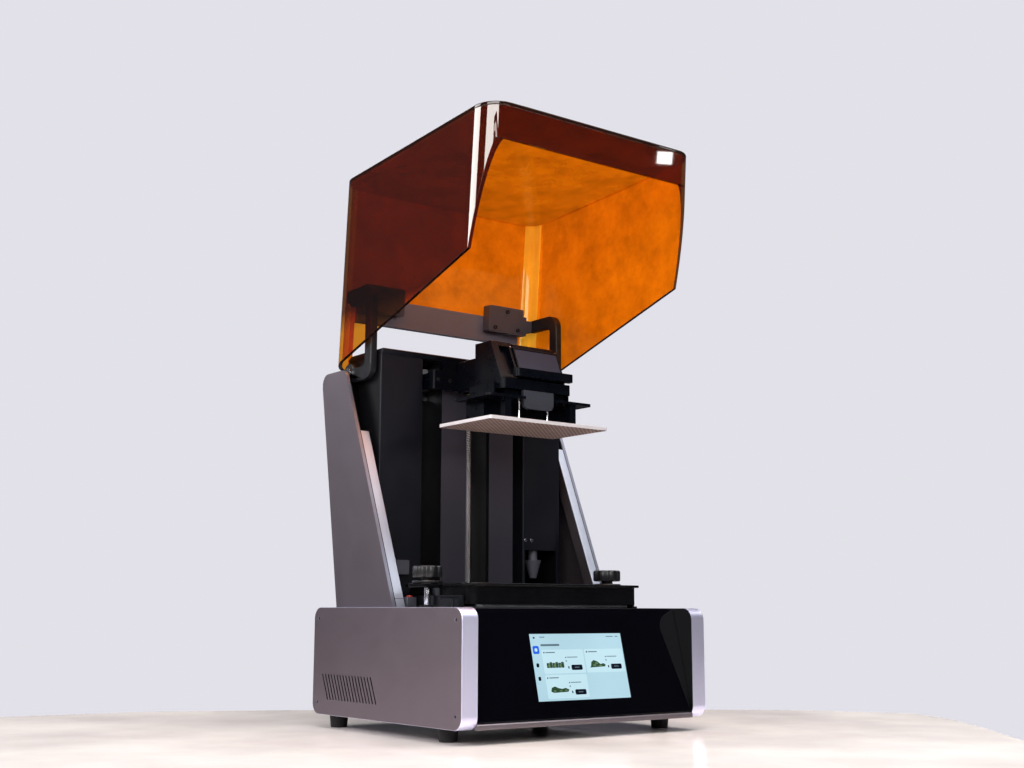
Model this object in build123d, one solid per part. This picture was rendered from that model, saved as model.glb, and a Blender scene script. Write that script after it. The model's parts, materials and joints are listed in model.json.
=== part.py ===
from build123d import *
import os
from math import atan2, cos, degrees, hypot, radians, sin

# Desktop resin (vat photopolymerisation) printer, in millimetres.
# Frame: +Z up, z = 0 at the bottoms of the feet, -Y towards the person using it, x = 0 in the middle.
# Drawn at rest with the hood open, the platform at the top of its travel and the vat in place.

os.makedirs("parts", exist_ok=True)

# ---- driving dimensions ----
BASE_HALF_W = 196.0
BASE_FRONT = -174.0
BASE_REAR = 174.0
FOOT_H = 17.0
BASE_TOP = 157.0
SIDE_T = 23.0            # width of each side panel's rim
SHEET = 3.0              # skin thickness of the side panels and fins
GAP = 0.3                # fitting gap between neighbouring covers
EDGE_R = 1.2             # rounding of the outer edges of the sheet-metal covers

PANEL_FOOT = (-172.0, 25.0)      # y, z of the front panel's lower edge
PANEL_HEAD = (-139.5, 156.0)     # y, z of its upper edge
PANEL_T = 4.0
SCREEN_W = 148.0
SCREEN_H = 82.0
SCREEN_X = -3.0
SCREEN_Z = 85.5
PANEL_LEN = hypot(PANEL_HEAD[0] - PANEL_FOOT[0], PANEL_HEAD[1] - PANEL_FOOT[1])
SCREEN_UP = (SCREEN_Z - PANEL_FOOT[1]) * PANEL_LEN / (PANEL_HEAD[1] - PANEL_FOOT[1])
INSIDE_X = BASE_HALF_W - SIDE_T

FAN_X = -95.0            # on the rear panel: fan, mains inlet, power rocker and USB socket
FAN_Z = 92.0
INLET_X = 125.0
ROCKER_X = 88.0
ROCKER_Z = 50.0
USB_X = 30.0

FIN_X = 182.0            # outer face of the side fins
FIN_RIM = 5.0            # width of the rim round each fin, from its outer face
FIN_TOP = 481.0
FIN_FLANGE_TOP = 393.0
FIN_RUN = 0.4156         # how far the fin's front edge goes back per unit of height
FIN_FRONT_Y = -2.0       # front edge at the base top

TOWER_X = 156.0
TOWER_FRONT = 79.5
TOWER_REAR = 168.0
TOWER_TOP = 499.0
RAIL_COVER_FRONT = 70.0
RAIL_X = 75.0
SCREW_Y = 95.0
SCREW_R = 5.0
RUN_CLEAR = 0.08         # radial clearance of a running fit

PLATE_X = 98.9
PLATE_FRONT = -95.0
PLATE_REAR = 22.4
PLATE_BOTTOM = 395.2
PLATE_TOP = PLATE_BOTTOM + 4.7
PLATE_MID_Y = (PLATE_FRONT + PLATE_REAR) / 2

VAT_BOTTOM = 158.0
VAT_RIM = 187.0
VAT_X = 138.5
VAT_HALF_Y = 76.0
EAR_TOP = VAT_RIM
KNOB_X = 150.0
KNOB_Y = -32.0

HINGE_Y = 146.0
HINGE_Z = 479.0
HOOD_OPENING = 86.0      # degrees between closed and open
HOOD_X = 177.0
HOOD_WALL = 5.0
HOOD_CORNER = 33.0
HOOD_TOP = 518.0         # closed height of the hood's top face
HOOD_LIP_Z = 158.0
HOOD_FRONT_HEAD = -130.0
HOOD_FRONT_FOOT = -174.5
HOOD_LIP_REAR = -127.0
HOOD_KNEE = (10.5, 190.0)
HOOD_TAIL_Y = 141.0
ARM_IN = 157.5
ARM_OUT = 168.0
PIN_R = 5.0
BAR_REAR_Y = 171.2       # crossbar, with the hood open
BAR_BOTTOM = 560.0
BAR_TOP = 598.0
BAR_HALF = 143.5
BAR_T = 8.0
BLOCK_T = 16.0           # how far the corner blocks stand out from the crossbar

HEAD_BOTTOM = 443.0
HEAD_TOP = 511.5
HEAD_REAR = 1.0
LEVER_Y = -35.0          # pivot of the lock lever
LEVER_Z = 505.5

parts = {}


# ---- helpers ----
def block(x0, x1, y0, y1, z0, z1):
    return Pos((x0 + x1) / 2, (y0 + y1) / 2, (z0 + z1) / 2) * Box(x1 - x0, y1 - y0, z1 - z0)


def rod_z(x, y, z0, z1, radius):
    return Pos(x, y, (z0 + z1) / 2) * Cylinder(radius, z1 - z0)


def rod_x(x0, x1, y, z, radius):
    return Pos((x0 + x1) / 2, y, z) * Rot(0, 90, 0) * Cylinder(radius, x1 - x0)


def rod_y(x, y0, y1, z, radius):
    return Pos(x, (y0 + y1) / 2, z) * Rot(90, 0, 0) * Cylinder(radius, y1 - y0)


def side_profile(points, x0, x1):
    """A solid with the outline `points` (y, z), from x0 to x1."""
    face = make_face(Polyline(*points, close=True))
    return extrude(Plane.YZ.offset(x0) * face, amount=x1 - x0)


def rounded_slab(x, y, width, depth, z0, z1, radius):
    return extrude(Pos(x, y, z0) * RectangleRounded(width, depth, radius), amount=z1 - z0)


def mirrored(solid):
    return mirror(solid, about=Plane.YZ)


def group(solids):
    return Compound(children=list(solids))


def pair(make):
    """Left and right copies of a piece, as two solids."""
    return group([make(-1), make(1)])


def add(name, shape):
    parts[name] = shape


def fin_front(z):
    return FIN_FRONT_Y + FIN_RUN * (z - BASE_TOP)


# ---- base ----
def side_panel(sign):
    """Side panel: a skin with a deep rim round its edge, closed outside and open inside."""
    depth = BASE_REAR - BASE_FRONT
    height = BASE_TOP - FOOT_H
    mid = (BASE_REAR + BASE_FRONT) / 2
    centre = Plane.YZ.offset(BASE_HALF_W - SIDE_T) * Pos(mid, (BASE_TOP + FOOT_H) / 2)
    outer = extrude(centre * RectangleRounded(depth, height, 15), amount=SIDE_T)
    inner = extrude(centre * RectangleRounded(depth - 2 * SHEET, height - 2 * SHEET, 12), amount=SIDE_T - SHEET)
    outer = fillet(outer.faces().sort_by(Axis.X)[-1].edges(), EDGE_R)
    panel = outer - inner
    for y in (BASE_FRONT + 12.5, BASE_REAR - 12.5):
        for z in (FOOT_H + 15.5, BASE_TOP - 14.5):
            panel -= rod_x(BASE_HALF_W - SHEET - 1, BASE_HALF_W + 1, y, z, 2.2)
    slot_angle = degrees(atan2(15, 33))
    for i in range(17):
        y = 19.0 + 7.6 * i
        slot = Rot(-slot_angle, 0, 0) * Box(2 * SHEET + 4, 2.4, 36)
        panel -= Pos(BASE_HALF_W - SHEET / 2, y, 53.5) * slot
    return panel if sign > 0 else mirrored(panel)


def side_screws():
    heads = []
    for sign in (-1, 1):
        for y in (BASE_FRONT + 12.5, BASE_REAR - 12.5):
            for z in (FOOT_H + 15.5, BASE_TOP - 14.5):
                x0, x1 = sorted((sign * (BASE_HALF_W - 14), sign * (BASE_HALF_W - 0.4)))
                heads.append(rod_x(x0, x1, y, z, 2.15))
    return heads


def front_panel_plane():
    lean = atan2(PANEL_HEAD[0] - PANEL_FOOT[0], PANEL_HEAD[1] - PANEL_FOOT[1])
    return Plane(origin=(0, PANEL_FOOT[0], PANEL_FOOT[1]), x_dir=(1, 0, 0), z_dir=(0, -cos(lean), sin(lean)))


def front_panel():
    half = INSIDE_X - GAP
    plane = front_panel_plane()
    panel = extrude(plane * Pos(0, PANEL_LEN / 2) * Rectangle(2 * half, PANEL_LEN), amount=-PANEL_T)
    window = Pos(SCREEN_X, SCREEN_UP) * Rectangle(SCREEN_W, SCREEN_H)
    return panel - extrude(plane * window, amount=-PANEL_T)


def touchscreen():
    plane = front_panel_plane()
    glass = Pos(SCREEN_X, SCREEN_UP) * Rectangle(SCREEN_W - 0.4, SCREEN_H - 0.4)
    return extrude(plane * glass, amount=-9.0)


def base_tray():
    half = INSIDE_X - GAP
    floor = block(-half, half, -166, 171, FOOT_H, FOOT_H + 2)
    for screw in bottom_screws():
        floor -= screw
    for sign in (-1, 1):
        x0, x1 = sorted((sign * half, sign * (half - 2)))
        floor += block(x0, x1, -150, 171, FOOT_H, FOOT_H + 40)
    return floor


def front_strip():
    half = INSIDE_X - GAP
    return side_profile([(-173.5, 17), (-173.5, 22), (-172, 23.6), (-166.3, 23.6), (-166.3, 17)], -half, half)


def top_deck():
    half = INSIDE_X - GAP
    deck = block(-half, half, -135.2, 171, BASE_TOP - 4, BASE_TOP)
    front = [e for e in deck.edges().filter_by(Axis.X) if e.center().Y < -130 and e.center().Z > BASE_TOP - 1]
    deck = fillet(front, EDGE_R)
    deck -= block(-101, 101, PLATE_MID_Y - 63, PLATE_MID_Y + 63, BASE_TOP - 5, BASE_TOP + 1)
    deck -= rod_z(0, SCREW_Y, BASE_TOP - 5, BASE_TOP + 1, 14)
    return deck


def rear_panel():
    half = INSIDE_X - GAP
    panel = block(-half, half, 171, BASE_REAR, FOOT_H + 2, BASE_TOP)
    for i in range(-4, 5):
        reach = (33.0 ** 2 - (7.4 * i) ** 2) ** 0.5
        panel -= block(FAN_X - reach, FAN_X + reach, 170, 175, FAN_Z + 7.4 * i - 2, FAN_Z + 7.4 * i + 2)
    panel -= block(INLET_X - 14, INLET_X + 14, 170, 175, 40, 60)
    panel -= block(ROCKER_X - 8, ROCKER_X + 8, 170, 175, ROCKER_Z - 12, ROCKER_Z + 12)
    panel -= block(USB_X - 7.5, USB_X + 7.5, 170, 175, 46, 54)
    return panel


def foot(x, y):
    return Pos(x, y, FOOT_H / 2) * Rot(180, 0, 0) * Cone(12.5, 10.8, FOOT_H)


def bottom_cover():
    cover = rounded_slab(0, 20, 280, 130, FOOT_H - 4, FOOT_H, 6)
    for i in range(-6, 7):
        cover -= block(18.0 * i - 2, 18.0 * i + 2, -25, 65, FOOT_H - 5, FOOT_H + 1)
    return cover


def bottom_screws():
    spots = [(x, y) for x in (-110, -40, 40, 110) for y in (-80, 110)]
    return [rod_z(x, y, FOOT_H - 3.5, FOOT_H + 1.9, 3) for x, y in spots]


# ---- inside the base ----
def heatsink():
    body = block(-84, 84, PLATE_MID_Y - 48, PLATE_MID_Y + 48, 52, 58)
    for i in range(-10, 11):
        body += block(8 * i - 1.2, 8 * i + 1.2, PLATE_MID_Y - 48, PLATE_MID_Y + 48, 28, 52)
    return body


def lens_array():
    plate = block(-84, 84, PLATE_MID_Y - 48, PLATE_MID_Y + 48, 64, 66)
    for i in range(-3, 4):
        for j in (-1.5, -0.5, 0.5, 1.5):
            plate += rod_z(24 * i, PLATE_MID_Y + 24 * j, 66, 71, 10)
    return plate


def main_board():
    board = block(-160, -108, -120, 0, 30, 31.6)
    for i in range(4):
        board += block(-154, -134, -112 + 27 * i, -96 + 27 * i, 31.6, 36)
    return board


def power_supply():
    case = block(106, 160, -60, 120, 20, 62)
    for i in range(12):
        case -= block(107.5, 158.5, -52 + 14 * i, -46 + 14 * i, 60.5, 63)
    return case


def fan_frame():
    frame = block(FAN_X - 40, FAN_X + 40, 151, 170.7, FAN_Z - 40, FAN_Z + 40)
    frame -= rod_y(FAN_X, 150, 171, FAN_Z, 37)
    frame += rod_y(FAN_X, 151, 154, FAN_Z, 14)
    for turn in (45, 135, 225, 315):
        strut = Pos(FAN_X, 152.5, FAN_Z) * Rot(0, turn, 0) * Pos(25, 0, 0) * Box(26, 3, 4)
        frame += strut
    return frame


def fan_rotor():
    rotor = rod_y(FAN_X, 154.6, 168, FAN_Z, 14)
    for i in range(7):
        blade = Rot(30, 0, 0) * Box(22, 1.6, 12)
        rotor += Pos(FAN_X, 161, FAN_Z) * Rot(0, 360 / 7 * i, 0) * Pos(24, 0, 0) * blade
    return rotor


def power_inlet():
    """Mains inlet and rocker switch housing in one moulding, with one flange on the rear panel."""
    body = block(INLET_X - 13.6, INLET_X + 13.6, 150, 174, 40.4, 59.6)
    body += block(ROCKER_X - 7.6, ROCKER_X + 7.6, 155, 174, ROCKER_Z - 11.6, ROCKER_Z + 11.6)
    body += block(ROCKER_X - 11, INLET_X + 17, 174, 176, ROCKER_Z - 15, ROCKER_Z + 15)
    body -= block(INLET_X - 12, INLET_X + 12, 158, 177, 42, 58)
    body -= block(ROCKER_X - 6, ROCKER_X + 6, 160, 177, ROCKER_Z - 10, ROCKER_Z + 10)
    for dx, dz in ((-7, -2), (0, 2), (7, -2)):
        body += block(INLET_X + dx - 1, INLET_X + dx + 1, 150, 170, 50 + dz - 2.5, 50 + dz + 2.5)
    return body


def rocker():
    """Rocker drawn tilted to its off side; it turns 14 degrees about its pivot."""
    outline = [(-7, -6), (2, -9.2), (4.6, -9.2), (3.4, 0), (4.6, 9.2), (2, 9.2), (-7, 6)]
    key = side_profile(outline, -5.7, 5.7) + rod_x(-5.9, 5.9, 0, 0, 1.6)
    return Pos(ROCKER_X, 172, ROCKER_Z) * Rot(-7, 0, 0) * key


def usb_port():
    shell = block(USB_X - 7.2, USB_X + 7.2, 158, 174.6, 46.4, 53.6)
    shell -= block(USB_X - 6.4, USB_X + 6.4, 160, 175, 47.2, 52.8)
    return shell + block(USB_X - 5.5, USB_X + 5.5, 159, 172, 50.6, 52)


def make_base():
    add("side_panels", pair(side_panel))
    add("casing_screws", group(side_screws() + bottom_screws()))
    add("front_panel", front_panel())
    add("touchscreen", touchscreen())
    add("front_strip", front_strip())
    add("base_tray", base_tray())
    add("bottom_cover", bottom_cover())
    add("top_deck", top_deck())
    add("rear_panel", rear_panel())
    add("feet", group(foot(x, y) for x in (-171, 171) for y in (-112, 145)))
    lcd = block(-100.7, 100.7, PLATE_MID_Y - 62.7, PLATE_MID_Y + 62.7, BASE_TOP - 4.5, BASE_TOP + 0.2)
    add("exposure_screen", lcd)
    add("uv_lens_array", lens_array())
    add("uv_led_board", block(-84, 84, PLATE_MID_Y - 48, PLATE_MID_Y + 48, 58.2, 60.2))
    add("heatsink", heatsink())
    add("main_board", main_board())
    add("power_supply", power_supply())
    add("fan_frame", fan_frame())
    add("fan_rotor", fan_rotor())
    add("power_inlet", power_inlet())
    add("power_rocker", rocker())
    add("usb_port", usb_port())


# ---- vat ----
def vat_body():
    body = rounded_slab(0, PLATE_MID_Y, 2 * VAT_X, 2 * VAT_HALF_Y, VAT_BOTTOM + 3, VAT_RIM - 3, 18)
    body += rounded_slab(0, PLATE_MID_Y, 2 * VAT_X + 11, 2 * VAT_HALF_Y + 11, VAT_RIM - 3, VAT_RIM, 22)
    body -= rounded_slab(0, PLATE_MID_Y, 2 * VAT_X - 10, 2 * VAT_HALF_Y - 10, VAT_BOTTOM + 7, VAT_RIM + 1, 13)
    body -= rounded_slab(0, PLATE_MID_Y, 214, 124, VAT_BOTTOM, VAT_RIM, 6)
    for sign in (-1, 1):
        x0, x1 = sorted((sign * (VAT_X - 1), sign * 167.0))
        ear = block(x0, x1, KNOB_Y - 18, KNOB_Y + 18, EAR_TOP - 5, EAR_TOP)
        x0, x1 = sorted((sign * (KNOB_X - 4.5), sign * (KNOB_X + 4.5)))
        ear -= block(x0, x1, KNOB_Y, KNOB_Y + 19, EAR_TOP - 6, EAR_TOP + 1)
        ear -= rod_z(sign * KNOB_X, KNOB_Y, EAR_TOP - 6, EAR_TOP + 1, 4.5)
        body += ear
    return body


def film_ring():
    ring = rounded_slab(0, PLATE_MID_Y, 250, 140, VAT_BOTTOM + 0.3, VAT_BOTTOM + 3, 8)
    return ring - rounded_slab(0, PLATE_MID_Y, 214, 124, VAT_BOTTOM - 1, VAT_BOTTOM + 4, 6)


def film_screws():
    spots = [(sign * 116, PLATE_MID_Y + dy) for sign in (-1, 1) for dy in (-50, -25, 0, 25, 50)]
    spots += [(dx, PLATE_MID_Y + sign * 66.4) for sign in (-1, 1) for dx in (-90, -60, -30, 0, 30, 60, 90)]
    return group(rod_z(x, y, VAT_BOTTOM + 7, VAT_BOTTOM + 8.6, 2.2) for x, y in spots)


def vat_knob(sign):
    x = sign * KNOB_X
    knob = rod_z(x, KNOB_Y, EAR_TOP + GAP, EAR_TOP + 3.5, 19.5)
    knob += rod_z(x, KNOB_Y, EAR_TOP + 3.5, 194, 8)
    head = Circle(16.5)
    for i in range(7):
        lobe = Rot(0, 0, 360 / 7 * i) * Pos(14.8, 0) * Circle(4.6)
        head += lobe
    knob += extrude(Pos(x, KNOB_Y, 194) * head, amount=15)
    return knob - rod_z(x, KNOB_Y, EAR_TOP, 201, 4 + RUN_CLEAR)


def vat_rail(sign):
    """Guide rail beside the vat, with the stud that the thumb knob screws on to."""
    x0, x1 = sorted((sign * (VAT_X + 0.6), sign * (VAT_X + 4)))
    rail = block(x0, x1, PLATE_MID_Y - 60, PLATE_MID_Y + 56, BASE_TOP, BASE_TOP + 15)
    x0, x1 = sorted((sign * (VAT_X + 0.6), sign * (VAT_X + 9)))
    rail += block(x0, x1, PLATE_MID_Y - 60, PLATE_MID_Y + 56, BASE_TOP, BASE_TOP + 2.5)
    rail += rod_z(sign * KNOB_X, KNOB_Y, BASE_TOP, BASE_TOP + 2.5, 9)
    return rail + rod_z(sign * KNOB_X, KNOB_Y, BASE_TOP, 200, 4)


def deck_post():
    """T-shaped post that stands on the deck in front of the left thumb knob."""
    bar = block(-170, -144.5, -90.5, -85.5, BASE_TOP + 11, BASE_TOP + 13.5)
    return bar + rod_z(-KNOB_X, -88, BASE_TOP, BASE_TOP + 11, 2.2)


def make_vat():
    add("vat_body", vat_body())
    add("vat_film", rounded_slab(0, PLATE_MID_Y, 250, 140, VAT_BOTTOM - 0.1, VAT_BOTTOM + 0.3, 8))
    add("vat_film_ring", film_ring())
    add("vat_film_screws", film_screws())
    add("vat_knob_left", vat_knob(-1))
    add("vat_knob_right", vat_knob(1))
    add("vat_rails", group([vat_rail(-1), vat_rail(1), deck_post()]))


# ---- side fins ----
def fin_outline(inset=0.0):
    foot_y = fin_front(BASE_TOP)
    lines = Polyline(
        (foot_y + inset * 1.1, BASE_TOP),
        (fin_front(FIN_TOP) + inset * 0.6, FIN_TOP - inset),
        (193.5 - inset, FIN_TOP - inset),
        (193.5 - inset, 462),
        (140 - inset * 1.05, BASE_TOP),
        close=True,
    )
    face = make_face(lines)
    corners = [v for v in face.vertices() if v.Y > 400]
    return fillet(corners, 14 - inset)


def fin_shell(sign):
    """Fin cover: an outer skin, a rim round its edge, and a closed back; open in front for the hood's arms."""
    skin = extrude(Plane.YZ.offset(FIN_X - SHEET) * fin_outline(), amount=SHEET)
    ring = fin_outline() - fin_outline(SHEET)
    rim = extrude(Plane.YZ.offset(FIN_X - FIN_RIM) * ring, amount=FIN_RIM - SHEET)
    deep = extrude(Plane.YZ.offset(TOWER_X + GAP) * ring, amount=FIN_X - FIN_RIM - TOWER_X - GAP)
    back = block(TOWER_X, FIN_X, 165, 200, 470, 490)
    back += side_profile([(120, BASE_TOP - 1), (165, BASE_TOP - 1), (210, 475), (165, 475)], TOWER_X, FIN_X)
    shell = skin + rim + (deep & back)
    return shell if sign > 0 else mirrored(shell)


def fin_flange(sign):
    """Strip that fills the lower part of the fin's front opening: a front face and an inner cheek."""
    z0, z1 = BASE_TOP + GAP, FIN_FLANGE_TOP
    deep = 20.0

    def slab(near, far, x0, x1):
        outline = [
            (fin_front(z0) + near, z0),
            (fin_front(z1) + near, z1),
            (fin_front(z1) + far, z1),
            (fin_front(z0) + far, z0),
        ]
        return side_profile(outline, x0, x1)

    strip = slab(0, 3, 163, FIN_X - FIN_RIM - GAP)
    strip += slab(0, deep, 163, 165.5)
    strip += slab(SHEET + 0.8, SHEET + 3.6, 165.5, FIN_X - SHEET - GAP)
    return strip if sign > 0 else mirrored(strip)


def make_fins():
    add("fin_shells", pair(fin_shell))
    add("fin_flanges", pair(fin_flange))


# ---- tower ----
def tower_front_panel(sign):
    panel = block(88, TOWER_X, TOWER_FRONT, TOWER_FRONT + 3, BASE_TOP, TOWER_TOP)
    panel += block(88, 91, TOWER_FRONT, TOWER_FRONT + 40, BASE_TOP, TOWER_TOP)
    front = [e for e in panel.edges().filter_by(Axis.Z) if e.center().Y < TOWER_FRONT + 0.1]
    panel = fillet(front, EDGE_R)
    if sign > 0:
        panel -= block(92, 149, TOWER_FRONT - 1, TOWER_FRONT + 4, BASE_TOP + 3, 240)
        return panel
    return mirrored(panel)


def tower_back_cover():
    outer = block(-TOWER_X, TOWER_X, TOWER_FRONT + 3 + GAP, TOWER_REAR, BASE_TOP, TOWER_TOP)
    cover = outer - block(-TOWER_X + 3, TOWER_X - 3, TOWER_FRONT, TOWER_REAR - 3, BASE_TOP - 1, TOWER_TOP + 1)
    for sign in (-1, 1):
        x0, x1 = sorted((sign * (TOWER_X - 4), sign * (TOWER_X + 1)))
        cover -= rod_x(x0, x1, HINGE_Y, HINGE_Z, PIN_R)
    return cover


def tower_cap():
    top = TOWER_TOP + 7.5
    outline = [
        (TOWER_FRONT - 0.5, TOWER_TOP),
        (74.5, top - 1.5),
        (76, top),
        (TOWER_REAR - 8, top),
        (TOWER_REAR, top - 4.5),
        (TOWER_REAR, TOWER_TOP),
    ]
    return side_profile(outline, -TOWER_X, TOWER_X)


def rail_cover(sign):
    face = block(20, 62, RAIL_COVER_FRONT, RAIL_COVER_FRONT + 2.5, BASE_TOP, TOWER_TOP - 1)
    face += block(20, 22.5, RAIL_COVER_FRONT, 78, BASE_TOP, TOWER_TOP - 1)
    face += block(59.5, 62, RAIL_COVER_FRONT, 128, BASE_TOP, TOWER_TOP - 1)
    return face if sign > 0 else mirrored(face)


def z_beam():
    beam = block(-88, 88, 128, 160, BASE_TOP, TOWER_TOP - 1)
    for x in (-60, 0, 60):
        beam -= block(x - 20, x + 20, 132, 156, BASE_TOP - 1, TOWER_TOP + 1)
    return beam


def linear_rails():
    rails = []
    for sign in (-1, 1):
        rail = block(sign * RAIL_X - 6, sign * RAIL_X + 6, 120, 128, BASE_TOP, TOWER_TOP - 3)
        rails.append(rail)
    return group(rails)


def top_bearing():
    bearing = block(-17, 17, 80, 128, 483, 495)
    return bearing - rod_z(0, SCREW_Y, 482, 496, SCREW_R + RUN_CLEAR)


def z_motor():
    motor = block(-21, 21, SCREW_Y - 21, SCREW_Y + 21, 100, 148)
    motor += rod_z(0, SCREW_Y, 148, 150, 11)
    return motor


def leadscrew():
    return rod_z(0, SCREW_Y, 152, 494, SCREW_R)


def coupling():
    ring = rod_z(0, SCREW_Y, 153, 176, 11)
    return ring - rod_z(0, SCREW_Y, 150, 180, SCREW_R)


def feed_nozzle():
    body = rod_z(116, 92, 226, 246, 6.5)
    body += block(107, 125, 88, 128, 246, 258)
    return body + Pos(116, 92, 213) * Cone(5, 12, 26)


def level_sensor():
    body = block(-131, -111, 71.5, TOWER_FRONT, 201, 220)
    return fillet(body.edges().filter_by(Axis.Y), 2)


def hood_switch():
    return block(-161, -148, -4, 9, BASE_TOP, 170)


def hinge_pins():
    pins = []
    for sign in (-1, 1):
        x0, x1 = sorted((sign * (TOWER_X - 6), sign * (ARM_OUT + GAP)))
        pin = rod_x(x0, x1, HINGE_Y, HINGE_Z, PIN_R)
        x0, x1 = sorted((sign * (ARM_OUT + GAP), sign * (ARM_OUT + 3)))
        pins.append(pin + rod_x(x0, x1, HINGE_Y, HINGE_Z, 8))
    return group(pins)


def make_tower():
    add("tower_front_panels", pair(tower_front_panel))
    add("tower_back_cover", tower_back_cover())
    add("tower_cap", tower_cap())
    add("rail_covers", pair(rail_cover))
    add("z_beam", z_beam())
    add("linear_rails", linear_rails())
    add("top_bearing", top_bearing())
    add("z_motor", z_motor())
    add("leadscrew", leadscrew())
    add("shaft_coupling", coupling())
    add("feed_nozzle", feed_nozzle())
    add("sensor_housings", group([level_sensor(), hood_switch()]))
    add("hinge_pins", hinge_pins())


# ---- hood, drawn closed and then turned open ----
def open_hood(solid):
    axis = Axis((0, HINGE_Y, HINGE_Z), (1, 0, 0))
    return solid.rotate(axis, -HOOD_OPENING)


def hood_ring(inset):
    """Rounded-rectangle tube that runs from front to back."""
    width = 2 * (HOOD_X - inset)
    height = HOOD_TOP - HOOD_LIP_Z - 2 * inset
    middle = (HOOD_TOP + HOOD_LIP_Z) / 2
    plane = Plane(origin=(0, -220, middle), x_dir=(1, 0, 0), z_dir=(0, 1, 0))
    return extrude(plane * RectangleRounded(width, height, HOOD_CORNER - inset), amount=460)


def front_line(offset):
    """y, z of the front plate's ends, moved back by offset and run past the hood's own height."""
    run = (HOOD_FRONT_HEAD - HOOD_FRONT_FOOT) / (HOOD_TOP - HOOD_LIP_Z)
    low = HOOD_LIP_Z - 20
    high = HOOD_TOP + 20
    return (
        (HOOD_FRONT_FOOT + offset - 20 * run, low),
        (HOOD_FRONT_HEAD + offset + 20 * run, high),
    )


def hood_wall():
    front_low, front_high = front_line(HOOD_WALL)
    run = (HOOD_TAIL_Y - HOOD_KNEE[0]) / (HOOD_TOP - HOOD_KNEE[1])
    outline = [
        front_low,
        front_high,
        (HOOD_TAIL_Y + 20 * run, HOOD_TOP + 20),
        HOOD_KNEE,
        (HOOD_LIP_REAR, HOOD_LIP_Z + HOOD_WALL + 0.5),
        (HOOD_LIP_REAR, HOOD_LIP_Z - 20),
    ]
    tube = hood_ring(0) - hood_ring(HOOD_WALL)
    wall = tube & side_profile(outline, -HOOD_X - 1, HOOD_X + 1)
    flat = HOOD_X - HOOD_CORNER
    wall -= block(-flat, flat, closed_bar_y(), HOOD_TAIL_Y + 30, HOOD_TOP - HOOD_WALL - 1, HOOD_TOP + 1)
    return open_hood(wall)


def hood_front_plate():
    near_low, near_high = front_line(0)
    far_low, far_high = front_line(HOOD_WALL)
    slab = side_profile([near_low, near_high, far_high, far_low], -HOOD_X - 1, HOOD_X + 1)
    return open_hood(slab & hood_ring(0))


def closed_bar_y():
    """Closed-hood y of the crossbar's rear lower edge, which is placed with the hood open."""
    turn = radians(HOOD_OPENING)
    return HINGE_Y + (BAR_REAR_Y - HINGE_Y) * cos(turn) - (BAR_BOTTOM - HINGE_Z) * sin(turn)


def hood_crossbar():
    """Flat bar against the inside of the hood's top wall."""
    y0 = closed_bar_y()
    inner = HOOD_TOP - HOOD_WALL
    bar = block(-BAR_HALF, BAR_HALF, y0 - (BAR_TOP - BAR_BOTTOM), y0, inner - BAR_T, inner)
    return open_hood(bar)


def corner_block(sign):
    """Block on the crossbar's end, with a stub that carries the top of the hinge arm."""
    y0 = closed_bar_y()
    top = HOOD_TOP - HOOD_WALL - BAR_T
    piece = block(76, 147, y0 - 43, y0 - 14, top - BLOCK_T, top)
    piece += block(76, 141, y0 - 54, y0 - 38, top - BLOCK_T, top)
    corners = [e for e in piece.edges().filter_by(Axis.Z) if e.center().X < 100 or e.center().Y < y0 - 50]
    piece = fillet(corners, 3)
    piece += block(142, ARM_IN, y0 - 38, y0 - 20, top - BLOCK_T, top)
    return open_hood(piece if sign > 0 else mirrored(piece))


def block_screws():
    y0 = closed_bar_y()
    face = HOOD_TOP - HOOD_WALL - BAR_T - BLOCK_T
    heads = []
    for sign in (-1, 1):
        for x, back in ((88, 21), (131, 21), (110, 47)):
            heads.append(open_hood(rod_z(sign * x, y0 - back, face - 1.6, face, 3.2)))
    return group(heads)


def hood_arm(sign):
    """Gooseneck from the hinge pin to the end of the crossbar, drawn with the hood open."""
    outline = Polyline(
        (HINGE_Y, 465), (88, 465), (88, 598), (157, 598), (157, 580), (105, 580), (105, 485), (HINGE_Y, 485),
        close=True,
    )
    face = make_face(outline)
    outer = [v for v in face.vertices() if v.X < 90]
    face = fillet(outer, 20)
    inner = [v for v in face.vertices() if 104 < v.X < 106]
    face = fillet(inner, 8)
    arm = extrude(Plane.YZ.offset(ARM_IN) * face, amount=ARM_OUT - ARM_IN)
    arm += rod_x(ARM_IN, ARM_OUT, HINGE_Y, HINGE_Z, 14)
    arm -= rod_x(ARM_IN - 1, ARM_OUT + 1, HINGE_Y, HINGE_Z, PIN_R + RUN_CLEAR)
    return arm if sign > 0 else mirrored(arm)


def make_hood():
    add("hood_wall", hood_wall())
    add("hood_front_plate", hood_front_plate())
    add("hood_crossbar", hood_crossbar())
    add("hood_corner_blocks", pair(corner_block))
    add("hood_block_screws", block_screws())
    add("hood_arms", pair(hood_arm))


# ---- carriage and build platform ----
def carriage_plate():
    plate = block(-86, 86, 56, 66, 455, 481)
    plate = fillet([e for e in plate.edges().filter_by(Axis.Z) if e.center().Y < 57], 3)
    plate += block(-68, 68, 59, 66, 481, 498)
    for sign in (-1, 1):
        x0, x1 = sorted((sign * 67, sign * 83))
        plate += block(x0, x1, 66, 104, 457, 479)
    return plate + block(-16, 16, 66, 80, 458, 478)


def guide_blocks():
    blocks = []
    for sign in (-1, 1):
        body = block(sign * RAIL_X - 13, sign * RAIL_X + 12, 104, 126, 445, 491)
        body -= block(sign * RAIL_X - 6.3, sign * RAIL_X + 6.3, 119.7, 129, 440, 495)
        blocks.append(body)
    return group(blocks)


def leadscrew_nut():
    nut = block(-14, 14, 80, 110, 456, 480)
    return nut - rod_z(0, SCREW_Y, 450, 490, SCREW_R + RUN_CLEAR)


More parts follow.
